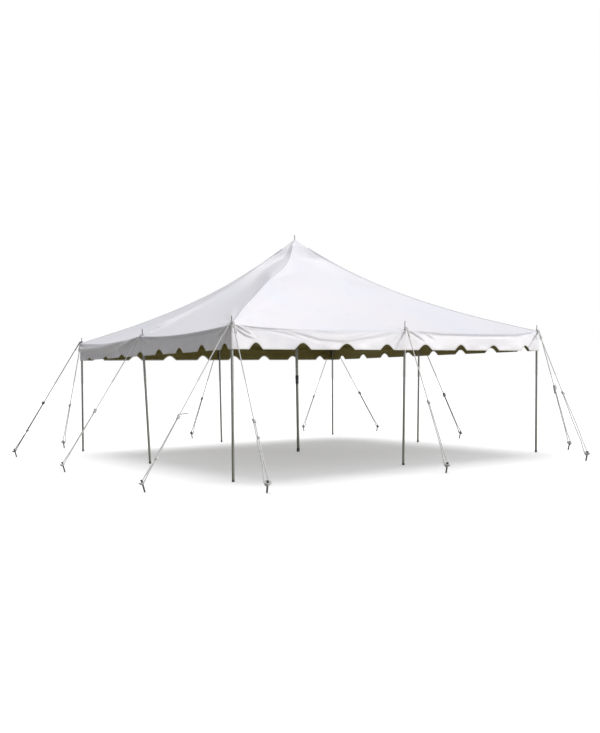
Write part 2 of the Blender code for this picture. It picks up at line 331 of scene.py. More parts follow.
def webbing(name, light, dark):       # sewn tape: fine ribs across it and two rows of stitches
    finish = Finish(name, {"IOR": 1.5, "Sheen Weight": 0.15, "Sheen Roughness": 0.5})
    run = finish.attribute("run")
    side = finish.attribute("side")       # 0 in the middle, 1 at the edge
    rib = (run * (2 * math.pi / tapeLook["ribPitch"])).sine()
    onRow = 1 - abs(side - tapeLook["stitchRow"]).between(0.03, 0.07)
    dash = (run * (2 * math.pi / tapeLook["stitchPitch"])).sine().between(-0.35, 0.1)
    stitch = onRow * dash
    fleck = finish.noise(30, 3).between(0.3, 0.75)
    shade = (stitch * 0.5).blend(fleck.blend(dark, light), tapeLook["stitch"])
    height = rib * 0.35 + stitch * 1.4 - onRow * 0.6
    rough = fleck * 0.1 + 0.62
    return finish.feed(shade, rough, finish.bump(height, 0.5, 0.0005))


metalLook = {
    "zincDark": (0.20, 0.205, 0.19), "zincLight": (0.30, 0.305, 0.285), "zincLow": (0.155, 0.155, 0.115),
    "sleeveDark": (0.035, 0.035, 0.033), "sleeveLight": (0.075, 0.073, 0.068),
    "sleeveWorn": (0.22, 0.21, 0.2),
    "scaleDark": (0.045, 0.044, 0.042), "scaleLight": (0.11, 0.108, 0.10),
    "rust": (0.13, 0.075, 0.045), "struck": (0.34, 0.33, 0.32),
    "rubber": (0.055, 0.055, 0.052), "dust": (0.16, 0.155, 0.13),
}


def galvanisedSteel():
    finish = Finish("galvanisedSteel", {"IOR": 1.5})
    spangle = finish.start.node("ShaderNodeTexVoronoi", {"feature": "F1"},
                                {"Vector": finish.place, "Scale": 85.0, "Randomness": 1.0}, "Color")
    patch = finish.start.node("ShaderNodeSeparateColor", {}, {"Color": spangle})
    cloud = finish.noise(9, 4).between(0.3, 0.72)
    drawn = finish.noise(24, 3, 0.5, (1.0, 1.0, 0.04)).between(0.35, 0.7)
    shade = (patch * 0.4 + cloud * 0.4).blend(metalLook["zincDark"], metalLook["zincLight"])
    foot = 1 - finish.z.between(0.3, 1.7)
    shade = (foot * 0.5 + foot * cloud * 0.3).blend(shade, metalLook["zincLow"])
    rough = patch * 0.08 + drawn * 0.1 + 0.40
    metal = 0.60 - foot * cloud * 0.25
    height = drawn * 0.3 + patch * 0.15
    return finish.feed(shade, rough, finish.bump(height, 0.15, 0.0004), metal)


def darkSteel():
    finish = Finish("darkSteel", {"IOR": 1.5})
    cloud = finish.noise(40, 4).between(0.3, 0.75)
    worn = finish.noise(160, 3).between(0.55, 0.75)
    shade = cloud.blend(metalLook["sleeveDark"], metalLook["sleeveLight"])
    shade = (worn * 0.5).blend(shade, metalLook["sleeveWorn"])
    rough = cloud * 0.15 + 0.45
    metal = worn * 0.4 + 0.45
    return finish.feed(shade, rough, finish.bump(cloud, 0.25, 0.0005), metal)


def forgedSteel():      # stakes: black scale, with rust low down and a bright rim where they are struck
    finish = Finish("forgedSteel", {"IOR": 1.5})
    scale = finish.noise(70, 5).between(0.3, 0.75)
    rust = finish.noise(28, 4).between(0.5, 0.72)
    struck = finish.z.between(0.148, 0.158) * finish.noise(220, 2).between(0.35, 0.65)
    low = 1 - finish.z.between(0.0, 0.08)
    shade = scale.blend(metalLook["scaleDark"], metalLook["scaleLight"])
    shade = (rust * 0.55 + low * 0.2).blend(shade, metalLook["rust"])
    shade = (struck * 0.6).blend(shade, metalLook["struck"])
    rough = rust * 0.2 + 0.5 - struck * 0.15
    metal = 0.6 - rust * 0.4
    return finish.feed(shade, rough, finish.bump(scale + rust, 0.5, 0.0008), metal)


def blackRubber():
    finish = Finish("blackRubber", {"IOR": 1.5})
    dust = finish.noise(90, 4).between(0.4, 0.8)
    low = 1 - finish.z.between(0.0, 0.03)
    shade = (dust * 0.4 + low * 0.35).blend(metalLook["rubber"], metalLook["dust"])
    return finish.feed(shade, dust * 0.2 + 0.6, finish.bump(dust, 0.3, 0.0004))


def laidRope(name, fresh, worn, darkTone):      # the grooves' shape comes from the mesh; here come the fibres, random soiling, painted shade in the grooves and a darker tone towards the bottom
    finish = Finish(name, {"IOR": 1.5, "Sheen Weight": 0.2, "Sheen Roughness": 0.6})
    groove = finish.attribute("groove")         # 1 at the bottom of a groove, where the painted shade is darkest
    fibre = finish.noise(900, 2)
    soil = finish.noise(7, 4).between(0.4, 0.75)
    shade = (soil * 0.6).blend(fresh, worn)
    low = 1 - finish.z.between(0.05, 0.35)
    # painted shade darkens the grooves, and the rope gets darker towards the bottom
    shade = (groove * 0.34 + low * 0.10).blend(shade, darkTone)
    return finish.feed(shade, soil * 0.1 + 0.72, finish.bump(fibre, 0.4, 0.0006))


finishes = {
    "canopy": canopyVinyl(),
    "skirt": skirtVinyl(),
    "lining": shadedInsideVinyl("shadedInsideVinyl", 0.0),
    "sunnyLining": shadedInsideVinyl("sunnyLining", 0.11),
    "tape": webbing("hemTape", (0.90, 0.89, 0.86), (0.83, 0.82, 0.79)),
    # the straps' dark olive is painted shade and bounce light, as on the inside face
    "strap": webbing("ridgeStrap", (0.34, 0.31, 0.22), (0.25, 0.23, 0.15)),
    "band": webbing("hipBand", (0.80, 0.80, 0.84), (0.75, 0.75, 0.80)),
    # the bead's grey is painted shade: a dark line along the hip, standing for the seam's shaded side
    "shadedBead": webbing("shadedHipBead", (0.56, 0.56, 0.58), (0.47, 0.47, 0.49)),
    "pole": galvanisedSteel(),
    "sleeve": darkSteel(),
    "stake": forgedSteel(),
    "rubber": blackRubber(),
    # the second and third ropes are the white rope painted darker: painted shade for ropes that face away
    # from the light
    "rope": laidRope("laidRope", (0.88, 0.88, 0.87), (0.70, 0.69, 0.65), (0.30, 0.29, 0.25)),
    "shadedRope": laidRope("shadedRope", (0.46, 0.45, 0.41), (0.33, 0.32, 0.27), (0.30, 0.29, 0.25)),
    "deepShadedRope": laidRope("deepShadedRope", (0.19, 0.185, 0.165), (0.12, 0.115, 0.095), (0.07, 0.066, 0.052)),
}
print("finishes:", len(finishes))


# Canopy: one sheet, drawn up to the peak and down to eight pins

canopy = {
    "hipSag": 0.25, "middleSag": 0.095,                 # dips below straight lines from the peak
    "crownReach": 0.30, "leftCrownReach": 0.08,
    "frontShare": 0.90,                       # sag of the front's slack middle line, as a share of the hips'
    "panelSag": 0.05, "eaveSag": 0.05, "overhangDrop": 0.0093,
    # how far each side of a ridge it is rounded, as shares of the half side: at least, and more halfway out
    "hipReach": (0.03, 0.23), "hipRounded": (0.02, 0.13, 0.26, 0.48), "middleReach": (0.02, 0.10),
    "frontMiddle": 0.35, "frontSlack": 0.35,
    "hipSkew": 0.30,                                    # hips sag more in their upper half
    "tightReach": 0.60, "tightFrom": (0.02, 0.35),      # the front left hip, which stands up to its pin
    "tightShare": 0.45,
    "twist": 4.0, "twistFade": (0.60, 1.9),             # degrees by which that hip swings round at the peak
    "thickness": 0.0022, "proud": 0.0012,               # how far it stands past the valances' solids
    "roll": 0.026, "rollStart": 12, "rollRows": 6,      # radius of the turned eave, and its first angle
    "drop": 0.032,                       # band that hangs below the roll, over the valance's head
    "cornerRadius": 0.03,
    "hole": 0.0034,                      # share of the half side, at the centre pole's pin
    "columnStep": (0.0125, 0.090, 0.115),      # least step in metres, its growth from a pole, and its limit
    "rowStep": (0.012, 0.055, 0.055),
    "peakStep": 0.007,
    "ripple": 0.0035, "calmPin": (0.02, 0.22), "calmPeak": (0.03, 0.35),      # none close to a pin
    "hollow": (1.9, 0.42),      # beside each fold: how far out, in widths, and how deep, as a share of it
    "patchHalf": 0.155, "patchLift": 0.0014,            # cloth doubled round each pin
}
poleSpots = [(a * halfSide, b * halfSide) for a in (-1, 0, 1) for b in (-1, 0, 1) if (a, b) != (0, 0)]


def roundAbs(value, reach):      # |value|, with its tip rounded off within reach of 0
    value = np.abs(value)
    return np.where(value < reach, value * value / (2 * reach) + reach / 2, value)


def swungRound(x, y):       # near the peak the front left hip stands off its diagonal
    angle, away = np.arctan2(y, x), np.hypot(x, y)
    inQuarter = (x < 0) & (y < 0)
    share = np.where(inQuarter, np.sin(2 * angle) ** 2, 0.0) * (1 - smoothStep(*canopy["twistFade"], away))
    angle = angle - math.radians(canopy["twist"]) * share
    return away * np.cos(angle), away * np.sin(angle)


def smoothCloth(x, y):
    x, y = swungRound(x, y)
    u, v = np.abs(x) / halfSide, np.abs(y) / halfSide
    far = np.clip(np.maximum(u, v), 1e-4, 1)
    least, most = canopy["middleReach"]
    onFront = -y > np.abs(x)
    middle = np.where(onFront, canopy["frontMiddle"] * far, far * least + most * far * (1 - far))
    u, v = np.where(u > v, u, roundAbs(u, middle)), np.where(u > v, roundAbs(v, middle), v)
    rise, full, fade, end = canopy["hipRounded"]
    least, most = canopy["hipReach"]
    reach = far * least + most * smoothStep(rise, full, far) * (1 - smoothStep(fade, end, far))
    gap = roundAbs(u - v, reach)
    ring = (u + v + gap) / 2
    across = np.clip((u + v - gap) / 2 / ring * (4 * far + reach) / (4 * far - reach), 0, 1)
    out = ring * (1 - reach / (4 * far + reach) * across ** 2)      # so that the hip keeps its height
    eave = plan["eave"] - canopy["eaveSag"] * 4 * across * (1 - across)
    slack = np.where(onFront, canopy["frontSlack"] * (1 - across ** 2) ** 2, np.sin(math.pi * across) ** 2)
    inner = np.minimum(out, 1)
    straight = plan["peak"] + (eave - plan["peak"]) * inner
    crownReach = np.where(-x > np.abs(y), canopy["leftCrownReach"], canopy["crownReach"])
    tightness = (1 - across) * smoothStep(0, crownReach, inner)
    hipSag = canopy["hipSag"] * (1 + canopy["hipSkew"] * (1 - 2 * inner))
    middleSag = np.where(onFront, canopy["frontShare"] * hipSag, canopy["middleSag"])
    sag = hipSag + (middleSag - hipSag) * tightness
    aside = np.clip(1 - gap / canopy["tightReach"], 0, 1) * ((x < 0) & (y < 0))
    tight = hipSag * canopy["tightShare"] * smoothStep(*canopy["tightFrom"], inner) * aside ** 2
    dip = sag + canopy["panelSag"] * slack - tight
    past = np.clip(out - 1, 0, None) * halfSide / (plan["edge"] - halfSide)
    return straight - 4 * dip * inner * (1 - inner) - canopy["overhangDrop"] * past


def ripples(x, y, waves, seed):      # gentle unevenness from a few crossing waves
    dice = np.random.default_rng(seed)
    total = np.zeros(np.shape(x))
    for _ in range(waves):
        angle, phase = dice.uniform(0, math.pi), dice.uniform(0, 2 * math.pi)
        length = dice.uniform(0.55, 1.6)
        total = total + np.sin((x * math.cos(angle) + y * math.sin(angle)) * 2 * math.pi / length + phase)
    return total / waves


def foldHeight(x, y, fold):
    # a fold is (start x, start y, end x, end y, height, width at its start, growth of the width, and the
    # share of its length where it begins to fade)
    startX, startY, endX, endY, high, width, growth, hold = fold
    long = math.hypot(endX - startX, endY - startY)
    dx, dy = (endX - startX) / long, (endY - startY) / long
    along = (x - startX) * dx + (y - startY) * dy
    aside = (x - startX) * dy - (y - startY) * dx
    share = along / long
    taper = smoothStep(0.0, 0.22, share) * (1 - smoothStep(hold, 1.0, share))
    wide = width + growth * np.clip(along, 0, None)
    out, deep = canopy["hollow"]
    top = np.exp(-(aside / wide) ** 2)
    dip = np.exp(-((np.abs(aside) - out * wide) / wide) ** 2)
    return high * taper * (top - deep * dip)


fans = {      # folds round each pin, and pleats round the peak; shape is width, growth and fading, as above
    "cornerTurns": (-38, -27, -16, -7, 8, 18, 29, 39), "sideTurns": (-76, -58, -38, -20, 19, 40, 60, 77),
    "long": (0.45, 0.95), "high": (0.0015, 0.0042), "shape": (0.014, 0.075, 0.35),
    "pleats": 14, "pleatStart": 0.05,
    "pleatLong": (0.5, 0.9), "pleatHigh": (0.001, 0.0028), "pleatShape": (0.012, 0.05, 0.35),
}


def canopyFolds():
    dice = np.random.default_rng(11)
    folds = []
    for px, py in poleSpots:
        atCorner = abs(px) > 0.1 and abs(py) > 0.1
        inward = math.atan2(-py, -px)
        for turn in fans["cornerTurns" if atCorner else "sideTurns"]:
            angle = inward + math.radians(turn + dice.uniform(-2.5, 2.5))
            long, high = dice.uniform(*fans["long"]), dice.uniform(*fans["high"])
            endX, endY = px + long * math.cos(angle), py + long * math.sin(angle)
            folds.append((px, py, endX, endY, high, *fans["shape"]))
    for turn in range(fans["pleats"]):
        angle = 2 * math.pi * (turn + dice.uniform(-0.3, 0.3)) / fans["pleats"]
        long, high = dice.uniform(*fans["pleatLong"]), dice.uniform(*fans["pleatHigh"])
        ends = [(out * math.cos(angle), out * math.sin(angle)) for out in (fans["pleatStart"], long)]
        folds.append((*ends[0], *ends[1], high, *fans["pleatShape"]))
    return folds


# the deeper folds that the photo shows from the front left pin: reach, height, width, growth and fading
gathers = [
    (2.00, 2.07, 0.054, 0.016, 0.044, 0.60), (1.62, 2.12, 0.020, 0.012, 0.030, 0.50),
    (1.05, 1.95, 0.014, 0.014, 0.040, 0.35),
    (0.80, 1.22, 0.010, 0.012, 0.040, 0.35), (1.15, 0.80, 0.006, 0.014, 0.040, 0.35),
    (0.22, 0.75, 0.007, 0.014, 0.050, 0.35),
]
folds = canopyFolds()
for reachX, reachY, *shape in gathers:
    folds.append((-halfSide, -halfSide, reachX - halfSide, reachY - halfSide, *shape))
folds.append((-halfSide, 0.0, -1.80, -0.06, 0.034, 0.020, 0.160, 0.25))      # at the left side's middle pin
folds.append((-halfSide, 0.0, -1.20, 0.50, -0.034, 0.016, 0.130, 0.45))


def clothTop(x, y):
    x, y = np.asarray(x, float), np.asarray(y, float)
    height = smoothCloth(x, y)
    calm = np.ones(np.shape(x))
    for px, py in poleSpots:
        calm = calm * smoothStep(*canopy["calmPin"], np.hypot(x - px, y - py))
    calm = calm * smoothStep(*canopy["calmPeak"], np.hypot(x, y))
    height = height + canopy["ripple"] * calm * ripples(x, y, 9, 5)
    for fold in folds:
        height = height + foldHeight(x, y, fold)
    for px, py in poleSpots:
        fromPin = np.maximum(np.abs(x - px), np.abs(y - py))
        edge = canopy["patchHalf"]
        height = height + canopy["patchLift"] * (1 - smoothStep(edge - 0.008, edge, fromPin))
    return height


def steppedStations(long, least, growth, most):      # distances from 0 to long, finer near 0
    stations = [0.0]
    while stations[-1] < long:
        stations.append(stations[-1] + min(most, least + growth * stations[-1]))
    return np.array(stations) * long / stations[-1]


def eaveShares():       # places along one eave, as shares of its half length
    least, growth, most = canopy["columnStep"]
    fromPole = steppedStations(halfSide / 2, least, growth, most)
    bay = np.concatenate([fromPole, halfSide - fromPole[-2::-1]]) / halfSide
    left = bay - 1
    return np.concatenate([left, bay[1:]])


def roofRows(start, end):
    least, growth, most = canopy["rowStep"]
    turn = 0.7 * (end - start)
    low = end - steppedStations(turn, least, growth, most)[::-1]
    high = start + steppedStations(end - turn - start, canopy["peakStep"], 0.09, most)
    return np.concatenate([high, low[1:]])


def roundedCorner(x, out, radius, push=0.0):
    # x runs along a side at distance out from the middle; the last radius before each corner becomes an arc,
    # and push moves the points out along the side's own outward way
    past = np.clip(np.abs(x) - (out - radius), 0, None)
    bent = (past > 0) & (radius > 1e-6)
    angle = np.where(bent, np.sign(x) * past / np.maximum(radius, 1e-9) * (math.pi / 4), 0.0)
    flatX = np.where(bent, np.sign(x) * (out - radius), x)
    reach = np.where(bent, radius, 0.0)
    roundX = flatX + (reach + push) * np.sin(angle)
    roundY = -(out - reach) - (reach + push) * np.cos(angle)
    return roundX, roundY


# Creases of the hanging cloth. Each has its line, from the left end of a side and up from the ground as seen
# from outside, then how deep it is and how wide.

creases = {
    "front": [
        ([(-3.05, 2.150), (-2.85, 2.096), (-2.61, 2.074), (-2.20, 2.069), (-1.85, 2.066)], 0.0120, 0.015),
        ([(-3.05, 2.128), (-2.88, 2.038), (-2.74, 1.976)], 0.0180, 0.013),
        ([(-3.05, 2.082), (-2.87, 1.972), (-2.70, 1.928)], 0.0160, 0.016),
        ([(-2.52, 2.060), (-2.15, 2.006), (-1.88, 1.948)], 0.0055, 0.020),
        ([(-2.26, 2.074), (-1.98, 2.008), (-1.64, 1.930), (-1.19, 1.906), (-0.63, 1.984), (-0.09, 2.074)],
         0.0085, 0.026),
        ([(-1.80, 2.072), (-1.60, 2.050), (-1.46, 2.040)], 0.0045, 0.014),
        ([(0.02, 2.100), (0.20, 2.010), (0.40, 1.912)], 0.0110, 0.016),
        ([(0.14, 2.090), (0.36, 2.060), (0.62, 1.935)], 0.0070, 0.018),
        ([(0.22, 2.085), (0.74, 2.036), (1.41, 2.040), (2.22, 2.046), (2.95, 2.108)], 0.0080, 0.024),
        ([(2.95, 2.110), (2.62, 2.070), (2.24, 2.002)], 0.0060, 0.018),
        ([(3.05, 2.095), (2.98, 2.050), (3.03, 2.010), (2.98, 1.965)], 0.0050, 0.013),
        ([(-0.04, 2.095), (-0.16, 2.000), (-0.24, 1.930)], 0.0060, 0.015),
    ],
    "left": [
        ([(-0.02, 2.110), (-0.40, 2.030), (-1.00, 1.900), (-1.25, 1.850)], 0.0230, 0.034),
        ([(0.02, 2.105), (0.24, 2.010), (0.46, 1.915)], 0.0090, 0.018),
        ([(-3.30, 1.985), (-2.60, 1.945), (-1.80, 1.930), (-1.00, 1.950), (-0.40, 2.010)], 0.0420, 0.056),
        ([(0.15, 2.090), (0.90, 2.030), (1.70, 2.020), (2.45, 2.050), (2.98, 2.120)], 0.0060, 0.030),
        ([(-3.05, 2.100), (-2.90, 1.990), (-2.74, 1.900)], 0.0090, 0.016),
        ([(-3.05, 2.110), (-2.78, 2.050), (-2.42, 2.000)], 0.0060, 0.018),
        ([(3.05, 2.120), (2.86, 2.030), (2.66, 1.960)], 0.0070, 0.018),
        ([(3.05, 2.095), (2.96, 1.990), (2.92, 1.900)], 0.0060, 0.015),
    ],
}


def inventedCreases(seed):       # for the two sides that the photo doesn't show from outside
    dice = np.random.default_rng(seed)
    made = []
    for start, ways in ((-3.05, (1, 1, 1)), (0.0, (-1, -1, 1, 1)), (3.05, (-1, -1, -1))):
        for turn, way in enumerate(ways):
            long = dice.uniform(0.25, 0.55)
            fall = long * (0.25 + 0.4 * (turn % 3)) * dice.uniform(0.7, 1.0)
            top = 2.12 - 0.025 * (turn % 3)
            made.append(([(start + way * 0.02, top), (start + way * long * 0.5, top - fall * 0.62),
                          (start + way * long, top - min(fall, 0.20))],
                         dice.uniform(0.006, 0.011), dice.uniform(0.013, 0.019)))
    for left, right in ((-2.95, -0.1), (0.1, 2.95)):
        low = dice.uniform(0.06, 0.12)
        across = np.linspace(left, right, 6)
        sag = 2.085 - low * np.sin(np.linspace(0.1, math.pi - 0.1, 6))
        made.append((list(zip(across, sag)), dice.uniform(0.006, 0.009), 0.026))
    return made


creases["right"] = inventedCreases(21)
creases["back"] = inventedCreases(34)


def creaseShape(s, z, crease):       # a fold above the line and a hollow below it
    line, depth, wide = crease
    line = np.array(line)
    pieces = np.diff(line, axis=0)
    lengths = np.linalg.norm(pieces, axis=1)
    total, gone = lengths.sum(), 0.0
    nearest = np.full(np.shape(s), 1e9)
    aside, share = np.zeros(np.shape(s)), np.zeros(np.shape(s))
    facing = math.copysign(1.0, line[-1, 0] - line[0, 0])
    for start, way, long in zip(line, pieces / lengths[:, None], lengths):
        along = np.clip((s - start[0]) * way[0] + (z - start[1]) * way[1], 0, long)
        offS, offZ = s - start[0] - along * way[0], z - start[1] - along * way[1]
        distance = np.hypot(offS, offZ)
        closer = distance < nearest
        nearest = np.where(closer, distance, nearest)
        side = np.sign(offZ * way[0] - offS * way[1]) * facing
        aside = np.where(closer, side * distance, aside)
        share = np.where(closer, (gone + along) / total, share)
        gone += long
    taper = smoothStep(-0.02, 0.10, share) * (1 - smoothStep(0.62, 1.0, share))
    spread = wide * (0.75 + 0.6 * share)
    above = np.exp(-((aside - spread) / spread) ** 2)
    below = np.exp(-((aside + 0.7 * spread) / (0.9 * spread)) ** 2)
    return depth * taper * (above - 0.75 * below)


hanging = {      # waves of the hanging cloth: their lengths and height, and the curl along its hem
    "waves": (1.9, 1.1, 0.71, 0.43, 0.29), "waveHeight": 0.0052,
    "curlHeight": 0.004, "curlEvery": 0.772 / 1.5,
    "atCorner": 0.25,      # share of the shape that is left at a corner
}


def hangingShape(side, s, z):       # how far the hanging cloth stands out from its flat face
    s, z = np.broadcast_arrays(np.asarray(s, float), np.asarray(z, float))
    total = np.zeros(s.shape)
    for crease in creases[side]:
        total = total + creaseShape(s, z, crease)
    dice = np.random.default_rng(50 + sides.index(side))
    low = smoothStep(plan["eave"] - 0.05, plan["hem"], z)
    wave = np.zeros(s.shape)
    for length in hanging["waves"]:
        size, phase = dice.uniform(0.5, 1.0), dice.uniform(0, 6.28)
        wave = wave + size * length * np.sin(s * 2 * math.pi / length + phase)
    curl = np.sin(s * 2 * math.pi / hanging["curlEvery"] + dice.uniform(0, 6.28))
    atHem = smoothStep(plan["hem"] + 0.10, plan["hem"], z)
    total = total + low * wave * hanging["waveHeight"] + atHem * curl * hanging["curlHeight"]
    calm = 1 - smoothStep(halfSide - 0.06, halfSide + 0.02, np.abs(s))
    return total * (hanging["atCorner"] + (1 - hanging["atCorner"]) * calm)


def canopySheet(sewnOn):
    edge = plan["edge"] + canopy["proud"]
    roll, start = canopy["roll"], math.radians(canopy["rollStart"])
    turnOut = edge - roll * (1 - math.sin(start))
    outs = roofRows(canopy["hole"] * halfSide, turnOut)
    shares = eaveShares()[:-1]
    blocks = []
    for quarter in range(4):
        rows = []       # each row's distance from the middle, and its heights
        for out in outs:
            rows.append((out, clothTop(*turned(shares * out, np.full(len(shares), -out), quarter))))
        eave = rows[-1][1]
        for angle in np.linspace(start, math.pi / 2, canopy["rollRows"] + 1)[1:]:
            rows.append((turnOut + roll * (math.sin(angle) - math.sin(start)),
                         eave - roll * (math.cos(start) - math.cos(angle))))
        rolled = rows[-1][1]
        for share in (1 / 3, 2 / 3, 1):
            rows.append((edge, rolled - canopy["drop"] * share))
        out = np.array([[distance] * len(shares) for distance, high in rows])
        x, z = shares * out, np.array([high for distance, high in rows])
        radius = canopy["cornerRadius"] * smoothStep(edge - 0.12, edge, out)
        push = hangingShape(sides[quarter], x, z) * smoothStep(turnOut + 0.002, edge, out)
        x, y = turned(*roundedCorner(x, out, radius, push), quarter)
        blocks.append(np.stack([x, y, z], axis=2))
    over = np.concatenate(blocks, axis=1)
    under = over - canopy["thickness"] * gridNormals(over, True)
    sheet = closedSheet("canopy_sheet", over, under, True, ["canopy", "lining"])
    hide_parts(*("roof_panel_" + side for side in sides))


hipSeam = {      # a lapped band along each hip, with a raised bead in its middle
    "start": 0.245, "clear": 0.045,      # from the peak, and short of the pin
    "step": 0.03,
    "across": ((-0.0225, 0.0004), (-0.0215, 0.0019), (-0.0062, 0.0022), (-0.0050, 0.0038), (-0.0046, 0.0062),
               (-0.0026, 0.0086), (0.0, 0.0094), (0.0026, 0.0086), (0.0046, 0.0062), (0.0050, 0.0038),
               (0.0062, 0.0022), (0.0215, 0.0019), (0.0225, 0.0004), (0.0, -0.0006)),
    "slots": [0] * 3 + [1] * 6 + [0] * 5,      # the bead's faces have the second finish, grey with painted shade
    "flat": 0.35, "lap": 0.0022,      # on the front left one, what stands over the lap keeps that share
}
strap = {      # webbing sewn under the cloth, from the peak to each pin
    "start": 0.20, "clear": 0.055, "step": 0.05, "half": 0.025, "thickness": 0.0022,
}
ring = {"around": 36, "profile": ((0.0095, -0.0004), (0.0095, 0.0024), (0.0112, 0.0034), (0.0142, 0.0033),
                                  (0.0185, 0.0016), (0.0210, 0.0006), (0.0210, -0.0004))}


def ridgeLine(corner, start, end, step):       # plan points along a hip or a middle line, going outwards
    away = np.linspace(start, end, int((end - start) / step))
    straight = math.atan2(corner[1], corner[0])
    angle = np.full(len(away), straight)
    if corner == (-1, -1):
        for _ in range(6):
            share = np.sin(2 * angle) ** 2 * (1 - smoothStep(*canopy["twistFade"], away))
            angle = straight + math.radians(canopy["twist"]) * share
    return away * np.cos(angle), away * np.sin(angle)


def stripAlong(name, x, y, across, under, looks, slots=None):
    # across is (sideways, height) round the strip; height is over the cloth, or from its underside down
    dx, dy = np.gradient(x), np.gradient(y)
    size = np.hypot(dx, dy)
    dx, dy = dx / size, dy / size
    near = 0.004       # the slope is taken between points that far to each side
    rows = []
    for aside, high in across:
        px, py = x - dy * aside, y + dx * aside
        slopeX = (clothTop(px + near, py) - clothTop(px - near, py)) / (2 * near)
        slopeY = (clothTop(px, py + near) - clothTop(px, py - near)) / (2 * near)
        steep = np.sqrt(1 + slopeX ** 2 + slopeY ** 2)
        if under:
            high = high - canopy["thickness"]
        rows.append(np.stack([px, py, clothTop(px, py) + high * steep], axis=1))
    grid = np.stack(rows, axis=1)
    count, around = grid.shape[:2]
    if slots:
        slots = slots * (count - 1) + [0, 0]
    piece = addPiece(name, grid.reshape(-1, 3), tubeFaces(count, around), looks, slots, 60)
    addAttribute(piece, "run", np.repeat(runAlong(grid[:, 0]), around))
    fromMiddle = np.abs([aside for aside, high in across])
    addAttribute(piece, "side", np.tile(fromMiddle / fromMiddle.max(), count))
    return piece


def hipSeams():
    bands = []
    for side, corner in zip(sides, ((-1, -1), (1, -1), (1, 1), (-1, 1))):
        end = halfSide * math.sqrt(2) - hipSeam["clear"]
        x, y = ridgeLine(corner, hipSeam["start"], end, hipSeam["step"])
        across, slots = hipSeam["across"], hipSeam["slots"]
        if side == "front":
            lap, flat = hipSeam["lap"], hipSeam["flat"]
            across = [(aside, min(high, lap + flat * (high - lap))) for aside, high in across]
            slots = [0] * len(across)
        bands.append(stripAlong("hip_seam_" + side, x, y, across, False, ["band", "shadedBead"], slots))
    return bands


def straps():
    half, deep = strap["half"], -strap["thickness"]
    across = ((0.0, -0.0004), (half, -0.0004), (half, deep), (half * 0.5, deep), (0.0, deep),
              (-half * 0.5, deep), (-half, deep), (-half, -0.0004))
    corners = ((0, -1), (1, -1), (1, 0), (1, 1), (0, 1), (-1, 1), (-1, 0), (-1, -1))
    made = []
    for number, corner in enumerate(corners, 1):
        end = halfSide * math.hypot(*corner) - strap["clear"]
        x, y = ridgeLine(corner, strap["start"], end, strap["step"])
        made.append(stripAlong(f"canopy_strap_{number}", x, y, across, True, ["strap"]))
    return made


def pinRings():
    angle = np.arange(ring["around"]) * 2 * math.pi / ring["around"]
    for number, (px, py) in enumerate(poleSpots, 1):
        points = []
        for r, high in ring["profile"]:
            x, y = px + r * np.cos(angle), py + r * np.sin(angle)
            points.append(np.stack([x, y, clothTop(x, y) + high], axis=1))
        faces = loopFaces(len(points), ring["around"])
        addPiece(f"pin_ring_{number}", np.concatenate(points), faces, ["pole"])


canopySheet(hipSeams() + straps())
pinRings()
print("canopy done")


# Valances: scalloped skirts that hang from the turned eave

skirt = {
    "thickness": 0.0018, "inset": 0.0014,
    "notchHalf": 0.142, "notchDepth": 0.09, "fullness": 0.55, "notches": 8,
    "shallow": {"left": (0.45, 0.45, 0.62, 0.80, 0.92, 0.95)},      # depth shares of a side's first notches
    # along each side from the left, as seen from outside: first notch, step to the next, and half its gain
    "layout": {"front": (-2.702, 0.772, 0.0), "right": (-2.702, 0.772, 0.0), "back": (-2.702, 0.772, 0.0),
               "left": (-2.52, 0.85, -0.0125)},
    "headBelowEave": 0.034,
    "rows": {"front": 44, "left": 34, "right": 24, "back": 24},
    "columns": {"front": (0.0075, 0.006, 0.0135), "left": (0.010, 0.006, 0.015),
                "right": (0.014, 0.01, 0.020), "back": (0.014, 0.01, 0.020)},
    "tapeWidth": 0.019, "tapeThickness": 0.0011, "tapeStep": 0.0085, "tapeGap": 0.0015,
    "cornerGap": 0.0008, "hemLift": 0.0012,
}


def hemHeight(side, s):
    first, step, gain = skirt["layout"][side]
    dice = np.random.default_rng(70 + sides.index(side))
    lift = np.zeros(np.shape(s))
    for k in range(skirt["notches"]):
        middle = first + step * k + gain * k * (k - 1)
        narrower = 1 - 0.22 * smoothStep(2.1, 2.9, abs(middle))       # towards a corner
        half = skirt["notchHalf"] * narrower * dice.uniform(0.94, 1.03)
        shares = skirt["shallow"].get(side, ())
        depth = skirt["notchDepth"] * dice.uniform(0.93, 1.04) * (shares[k] if k < len(shares) else 1.0)
        bell = (1 + np.cos(math.pi * np.clip(np.abs(s - middle) / half, 0, 1))) / 2
        lift = np.maximum(lift, depth * np.clip(bell, 0, 1) ** skirt["fullness"])
    return plan["hem"] + skirt["hemLift"] + lift


def skirtPoint(side, s, z, lift=0.0):
    out = plan["edge"] - skirt["inset"]
    push = hangingShape(side, s, z) * smoothStep(plan["eave"] + 0.01, plan["eave"] - 0.06, z) + lift
    x, y = roundedCorner(s, np.full(np.shape(s), out), canopy["cornerRadius"], push)
    x, y = turned(x, y, sides.index(side))
    return np.stack([x, y, np.broadcast_to(z, np.shape(x))], axis=-1)


def skirtColumns(side):
    least, growth, most = skirt["columns"][side]
    half = plan["edge"] / 2
    fromPole = steppedStations(half, least, growth, most)
    bay = np.concatenate([fromPole, 2 * half - fromPole[-2::-1]])
    s = np.concatenate([bay - 2 * half, bay[1:]])
    limit = plan["edge"] - skirt["inset"] - skirt["cornerGap"]
    return np.clip(s, -limit, limit)


def eaveLine(side, s):
    return clothTop(*turned(s, np.full(np.shape(s), -(plan["edge"] - 0.02)), sides.index(side)))


